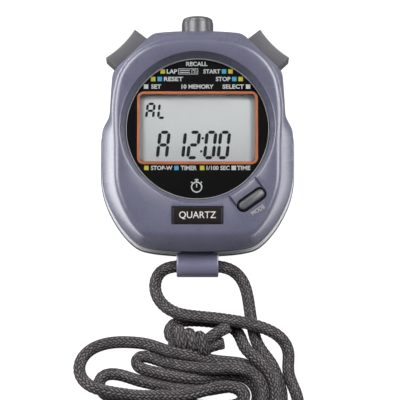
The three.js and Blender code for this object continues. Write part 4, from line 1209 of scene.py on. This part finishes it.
def make_lens():
    """Clear disc with a chamfered, ground edge."""
    edge = 0.22
    sides = 160
    turn = [Vector((math.cos(i * math.tau / sides), math.sin(i * math.tau / sides))) for i in range(sides)]
    levels = ((LENS_R - edge, LENS_LOW.z), (LENS_R, LENS_LOW.z + edge), (LENS_R, LENS_HIGH.z - edge),
              (LENS_R - edge, LENS_HIGH.z))
    bm = bmesh.new()
    loft(bm, [[Vector((*(t * radius), z)) for t in turn] for radius, z in levels], caps=True)
    clean(bm)
    for face in bm.faces:
        face.material_index = 0 if len(face.verts) > 8 else 1
    clear = clear_lens("lens_clear", (0.95, 0.97, 0.98))
    ground = clear_lens("lens_ground_edge", (0.86, 0.88, 0.86), 0.4, 0.0, 0.2)
    finish_piece(bm, "lens_disc", "case", "lens", clear, ground, replaces=("lens",))


def make_label(colours):
    """Black name plate in its pocket, with a generic word on it."""
    centre = upright(0, LABEL_Y)
    bm = bmesh.new()
    slab(bm, rounded_rectangle(LABEL_WIDTH, LABEL_HEIGHT, 0.3, 4), LABEL_LOW.z, LABEL_HIGH.z, 0.12, centre)
    clean(bm)
    black = moulded_plastic("label_black", colours.label, 0.16, 0.002, 0.4, 3000)
    finish_piece(bm, "name_plate", "case", "label_black", black, replaces=("label_plate",))
    bm = bmesh.new()
    add_text(bm, "QUARTZ", (0, 0), 12.2, 2.7, 0.04, centre @ Matrix.Translation((0, 0, LABEL_HIGH.z + 0.01)), 0)
    ink = printed_ink("label_ink", [c * 0.7 for c in colours.white])
    finish_piece(bm, "name_plate_lettering", "case", "label_black", ink)


# ---------------------------------------------------------------- inner parts and screws

def make_screws(colours):
    """Pan head screws with a cross slot, sunk in the back."""
    steel = metal("screw_steel", colours.steel, 0.3, (900, 900, 900))
    profile = [(0, 0.4), (1.2, 0.42), (1.65, 0.55), (1.88, 0.8), (1.9, 1.9), (1, 1.9), (1, 10.9), (0.3, 11.5),
               (0, 11.5)]
    for i, (x, y) in enumerate(CASE_SCREWS):
        bm = bmesh.new()
        verts = [bm.verts.new((r, 0, z)) for r, z in profile]
        edges = [bm.edges.new(pair) for pair in zip(verts, verts[1:])]
        bmesh.ops.spin(bm, geom=verts + edges, cent=(0, 0, 0), axis=(0, 0, 1), angle=math.tau, steps=40,
                       use_merge=True)
        clean(bm)
        slot, across, depth = (-1.2, 1.2), (-0.24, 0.24), (-1, 1.2)
        bm = combine(bm, (), [tool(block, slot, across, depth), tool(block, across, slot, depth)])
        turned = upright(x, y) @ Matrix.Rotation(0.4 + i * 0.7, 4, 'Z')
        bmesh.ops.transform(bm, matrix=turned, verts=bm.verts)
        finish_piece(bm, f"back_screw_{i + 1}", "case", "steel", steel, replaces=(f"case_screw_{i + 1}",))


INNER_FINISHES = {
    "holder": ("lcd_holder",),
    "rubber": ("elastomer_strip_top", "elastomer_strip_bottom", "mode_return_sleeve"),
    "board": ("circuit_board",),
    "resin": ("chip_blob",),
    "steel": ("quartz_crystal", "coin_cell", "battery_clip", "board_screw_1", "board_screw_2", "board_screw_3",
              "top_return_spring", "right_return_spring", "left_return_spring", "top_spring_seat",
              "right_spring_seat", "left_spring_seat"),
    "brass": ("battery_contact", "buzzer_disc", "buzzer_spring_left", "buzzer_spring_right", "top_switch_leaf",
              "right_switch_leaf", "left_switch_leaf", "mode_contact"),
}


def finish_inner_parts(colours):
    """Give each carried-over part its own finish."""
    finishes = {
        "holder": moulded_plastic("holder_plastic", (0.62, 0.6, 0.55), 0.5),
        "rubber": moulded_plastic("black_rubber", (0.02, 0.02, 0.021), 0.8, 0.03, 0.3),
        "board": board_material("circuit_board", colours.board),
        "resin": moulded_plastic("potting_resin", (0.01, 0.01, 0.011), 0.25, 0.03, 0.5, 900),
        "steel": metal("sheet_steel", colours.steel),
        "brass": metal("sheet_brass", colours.brass, 0.32),
    }
    for finish, nodes in INNER_FINISHES.items():
        for node in nodes:
            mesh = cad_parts[node].data
            mesh.materials.clear()
            mesh.materials.append(finishes[finish])


# ---------------------------------------------------------------- stage

CAMERA_TARGET = Vector((0.83, -24.28, 15.3))
CAMERA_DISTANCE = 1000
CAMERA_ELEVATION = math.radians(80)
SENSOR = 36
VIEW_WIDTH = 133.333
FLOOR_HALF = 6
# for the left and the right: how far back the lamps stand, and the glow of the upright and of the flat softbox
SOFTBOXES = ((-1, -0.1, 1.8, 7.5), (1, -0.3, 0.9, 4.2))
OVERHEAD_GLOW = 6.8


def aim(thing, target):
    thing.rotation_euler = (Vector(target) - thing.location).to_track_quat('-Z', 'Y').to_euler()


def soft_light(name, place, target, size, radiance):
    """Rectangular softbox, placed in metres, with its brightness given as radiance."""
    light = bpy.data.lights.new(name, 'AREA')
    light.shape = 'RECTANGLE'
    light.size, light.size_y = size
    light.energy = radiance * math.pi * size[0] * size[1]
    lamp = bpy.data.objects.new(name, light)
    lamp.location = place
    bpy.context.scene.collection.objects.link(lamp)
    aim(lamp, target)
    lamp.visible_camera = False


def make_camera():
    camera = bpy.data.objects.new("camera", bpy.data.cameras.new("camera"))
    bpy.context.scene.collection.objects.link(camera)
    back = Vector((0, -math.cos(CAMERA_ELEVATION), math.sin(CAMERA_ELEVATION)))
    camera.location = (CAMERA_TARGET + back * CAMERA_DISTANCE) * MM
    aim(camera, CAMERA_TARGET * MM)
    camera.data.sensor_width = SENSOR
    camera.data.lens = SENSOR * CAMERA_DISTANCE / VIEW_WIDTH
    camera.data.clip_start, camera.data.clip_end = 0.01, 20
    bpy.context.scene.camera = camera


def make_world():
    """Pale surroundings that darken towards straight overhead."""
    world = bpy.data.worlds.new("studio")
    world.use_nodes = True
    tree = world.node_tree
    direction = tree.nodes.new("ShaderNodeTexCoord").outputs["Generated"]
    parts = tree.nodes.new("ShaderNodeSeparateXYZ")
    tree.links.new(direction, parts.inputs[0])
    ramp = tree.nodes.new("ShaderNodeMapRange")
    tree.links.new(parts.outputs[2], ramp.inputs["Value"])
    for socket, value in (("From Min", 0.0), ("From Max", 0.7), ("To Min", 0.18), ("To Max", 0.02)):
        ramp.inputs[socket].default_value = value
    tree.nodes["Background"].inputs["Color"].default_value = (0.98, 0.98, 1, 1)
    tree.links.new(ramp.outputs["Result"], tree.nodes["Background"].inputs["Strength"])
    bpy.context.scene.world = world


def make_stage():
    """Camera, surroundings, pale floor and softboxes."""
    make_camera()
    make_world()
    bm = bmesh.new()
    bmesh.ops.create_grid(bm, x_segments=1, y_segments=1, size=FLOOR_HALF)
    mesh = bpy.data.meshes.new("floor")
    bm.to_mesh(mesh)
    bm.free()
    n = Nodes("floor_paper")
    grain = n.noise(900, 2)
    seen = n.add("ShaderNodeLightPath").outputs["Is Camera Ray"]
    n.shade(Base_Color=n.blend(n.spread(grain, 0, 1), (0.15, 0.15, 0.15, 1), (0.17, 0.17, 0.17, 1)),
            Roughness=0.9, Emission_Color=(1, 1, 1, 1), Emission_Strength=n.spread(seen, 0.08, 1.0, 0.0, 1.0))
    mesh.materials.append(n.material)
    floor = bpy.data.objects.new("floor", mesh)
    bpy.context.scene.collection.objects.link(floor)
    middle = (0, -0.02, 0.01)
    for side, y, upright_glow, flat_glow in SOFTBOXES:
        soft_light("side_softbox", (side * 0.55, y, 0.08), middle, (0.8, 0.15), upright_glow)
        soft_light("floor_softbox", (side * 0.29, y, 0.002), (side * 0.29, y, 1), (0.44, 0.8), flat_glow)
        soft_light("overhead_softbox", (side * 0.55, 0.36, 0.74), middle, (0.8, 0.5), OVERHEAD_GLOW)
    bpy.context.scene.view_settings.view_transform = 'Standard'
    bpy.context.scene.view_settings.look = 'None'


# ---------------------------------------------------------------- operators, panel and registration

class STOPWATCH_OT_stage(Operator):
    """Set up the camera, the floor and the studio lights"""
    bl_idname = "stopwatch.stage"
    bl_label = "Stage"
    bl_options = {'REGISTER', 'UNDO'}

    def execute(self, context):
        make_stage()
        return {'FINISHED'}


class STOPWATCH_OT_cords(Operator):
    """Lay out the braided cord with its knot"""
    bl_idname = "stopwatch.cords"
    bl_label = "Lanyard Cord"
    bl_options = {'REGISTER', 'UNDO'}

    def execute(self, context):
        make_cords(context.scene.stopwatch_sizes, context.scene.stopwatch_colours)
        return {'FINISHED'}


class STOPWATCH_OT_front_case(Operator):
    """Model the front shell of the case"""
    bl_idname = "stopwatch.front_case"
    bl_label = "Front Case"
    bl_options = {'REGISTER', 'UNDO'}

    def execute(self, context):
        make_front_case(context.scene.stopwatch_sizes, context.scene.stopwatch_colours)
        return {'FINISHED'}


class STOPWATCH_OT_rear_case(Operator):
    """Model the rear shell of the case"""
    bl_idname = "stopwatch.rear_case"
    bl_label = "Rear Case"
    bl_options = {'REGISTER', 'UNDO'}

    def execute(self, context):
        make_rear_case(context.scene.stopwatch_sizes, context.scene.stopwatch_colours)
        return {'FINISHED'}


class STOPWATCH_OT_lug(Operator):
    """Model the hoop that the cord goes through"""
    bl_idname = "stopwatch.lug"
    bl_label = "Lanyard Lug"
    bl_options = {'REGISTER', 'UNDO'}

    def execute(self, context):
        make_lug(context.scene.stopwatch_sizes, context.scene.stopwatch_colours)
        return {'FINISHED'}


class STOPWATCH_OT_push_buttons(Operator):
    """Model the top and side buttons"""
    bl_idname = "stopwatch.push_buttons"
    bl_label = "Push Buttons"
    bl_options = {'REGISTER', 'UNDO'}

    def execute(self, context):
        make_push_buttons(context.scene.stopwatch_sizes, context.scene.stopwatch_colours)
        return {'FINISHED'}


class STOPWATCH_OT_mode_button(Operator):
    """Model the mode button and its lettering"""
    bl_idname = "stopwatch.mode_button"
    bl_label = "Mode Button"
    bl_options = {'REGISTER', 'UNDO'}

    def execute(self, context):
        make_mode_button(context.scene.stopwatch_colours)
        return {'FINISHED'}


class STOPWATCH_OT_dial(Operator):
    """Model the dial plate and its printing"""
    bl_idname = "stopwatch.dial"
    bl_label = "Dial"
    bl_options = {'REGISTER', 'UNDO'}

    def execute(self, context):
        make_dial(context.scene.stopwatch_sizes, context.scene.stopwatch_colours)
        return {'FINISHED'}


class STOPWATCH_OT_display(Operator):
    """Model the display panel and its characters"""
    bl_idname = "stopwatch.display"
    bl_label = "Display"
    bl_options = {'REGISTER', 'UNDO'}

    def execute(self, context):
        make_display(context.scene.stopwatch_sizes, context.scene.stopwatch_colours)
        return {'FINISHED'}


class STOPWATCH_OT_lens(Operator):
    """Model the clear lens"""
    bl_idname = "stopwatch.lens"
    bl_label = "Lens"
    bl_options = {'REGISTER', 'UNDO'}

    def execute(self, context):
        make_lens()
        return {'FINISHED'}


class STOPWATCH_OT_label(Operator):
    """Model the name plate and its lettering"""
    bl_idname = "stopwatch.label"
    bl_label = "Name Plate"
    bl_options = {'REGISTER', 'UNDO'}

    def execute(self, context):
        make_label(context.scene.stopwatch_colours)
        return {'FINISHED'}


class STOPWATCH_OT_screws(Operator):
    """Model the screws in the back"""
    bl_idname = "stopwatch.screws"
    bl_label = "Back Screws"
    bl_options = {'REGISTER', 'UNDO'}

    def execute(self, context):
        make_screws(context.scene.stopwatch_colours)
        return {'FINISHED'}


class STOPWATCH_OT_inner_parts(Operator):
    """Give the parts inside their finishes"""
    bl_idname = "stopwatch.inner_parts"
    bl_label = "Inner Parts"
    bl_options = {'REGISTER', 'UNDO'}

    def execute(self, context):
        finish_inner_parts(context.scene.stopwatch_colours)
        return {'FINISHED'}


OPERATORS = (
    STOPWATCH_OT_stage, STOPWATCH_OT_cords, STOPWATCH_OT_front_case, STOPWATCH_OT_rear_case,
    STOPWATCH_OT_lug, STOPWATCH_OT_push_buttons, STOPWATCH_OT_mode_button, STOPWATCH_OT_dial,
    STOPWATCH_OT_display, STOPWATCH_OT_lens, STOPWATCH_OT_label, STOPWATCH_OT_screws,
    STOPWATCH_OT_inner_parts,
)


class STOPWATCH_PT_pieces(Panel):
    """Lists the stopwatch's pieces in the order in which they are made"""
    bl_label = "Stopwatch"
    bl_space_type = 'VIEW_3D'
    bl_region_type = 'UI'
    bl_category = "Stopwatch"

    def draw(self, context):
        for operator in OPERATORS:
            self.layout.operator(operator.bl_idname)
        for settings in (context.scene.stopwatch_sizes, context.scene.stopwatch_colours):
            column = self.layout.column()
            for name in settings.__annotations__:
                column.prop(settings, name)


CLASSES = (StopwatchSizes, StopwatchColours, *OPERATORS, STOPWATCH_PT_pieces)


def register():
    for cls in CLASSES:
        bpy.utils.register_class(cls)
    bpy.types.Scene.stopwatch_sizes = PointerProperty(type=StopwatchSizes)
    bpy.types.Scene.stopwatch_colours = PointerProperty(type=StopwatchColours)


def unregister():
    del bpy.types.Scene.stopwatch_colours
    del bpy.types.Scene.stopwatch_sizes
    for cls in reversed(CLASSES):
        bpy.utils.unregister_class(cls)


def main():
    register()
    bpy.ops.stopwatch.stage()
    bpy.ops.stopwatch.cords()
    bpy.ops.stopwatch.front_case()
    bpy.ops.stopwatch.rear_case()
    bpy.ops.stopwatch.lug()
    bpy.ops.stopwatch.push_buttons()
    bpy.ops.stopwatch.mode_button()
    bpy.ops.stopwatch.dial()
    bpy.ops.stopwatch.display()
    bpy.ops.stopwatch.lens()
    bpy.ops.stopwatch.label()
    bpy.ops.stopwatch.screws()
    bpy.ops.stopwatch.inner_parts()


if __name__ == "__main__":
    main()
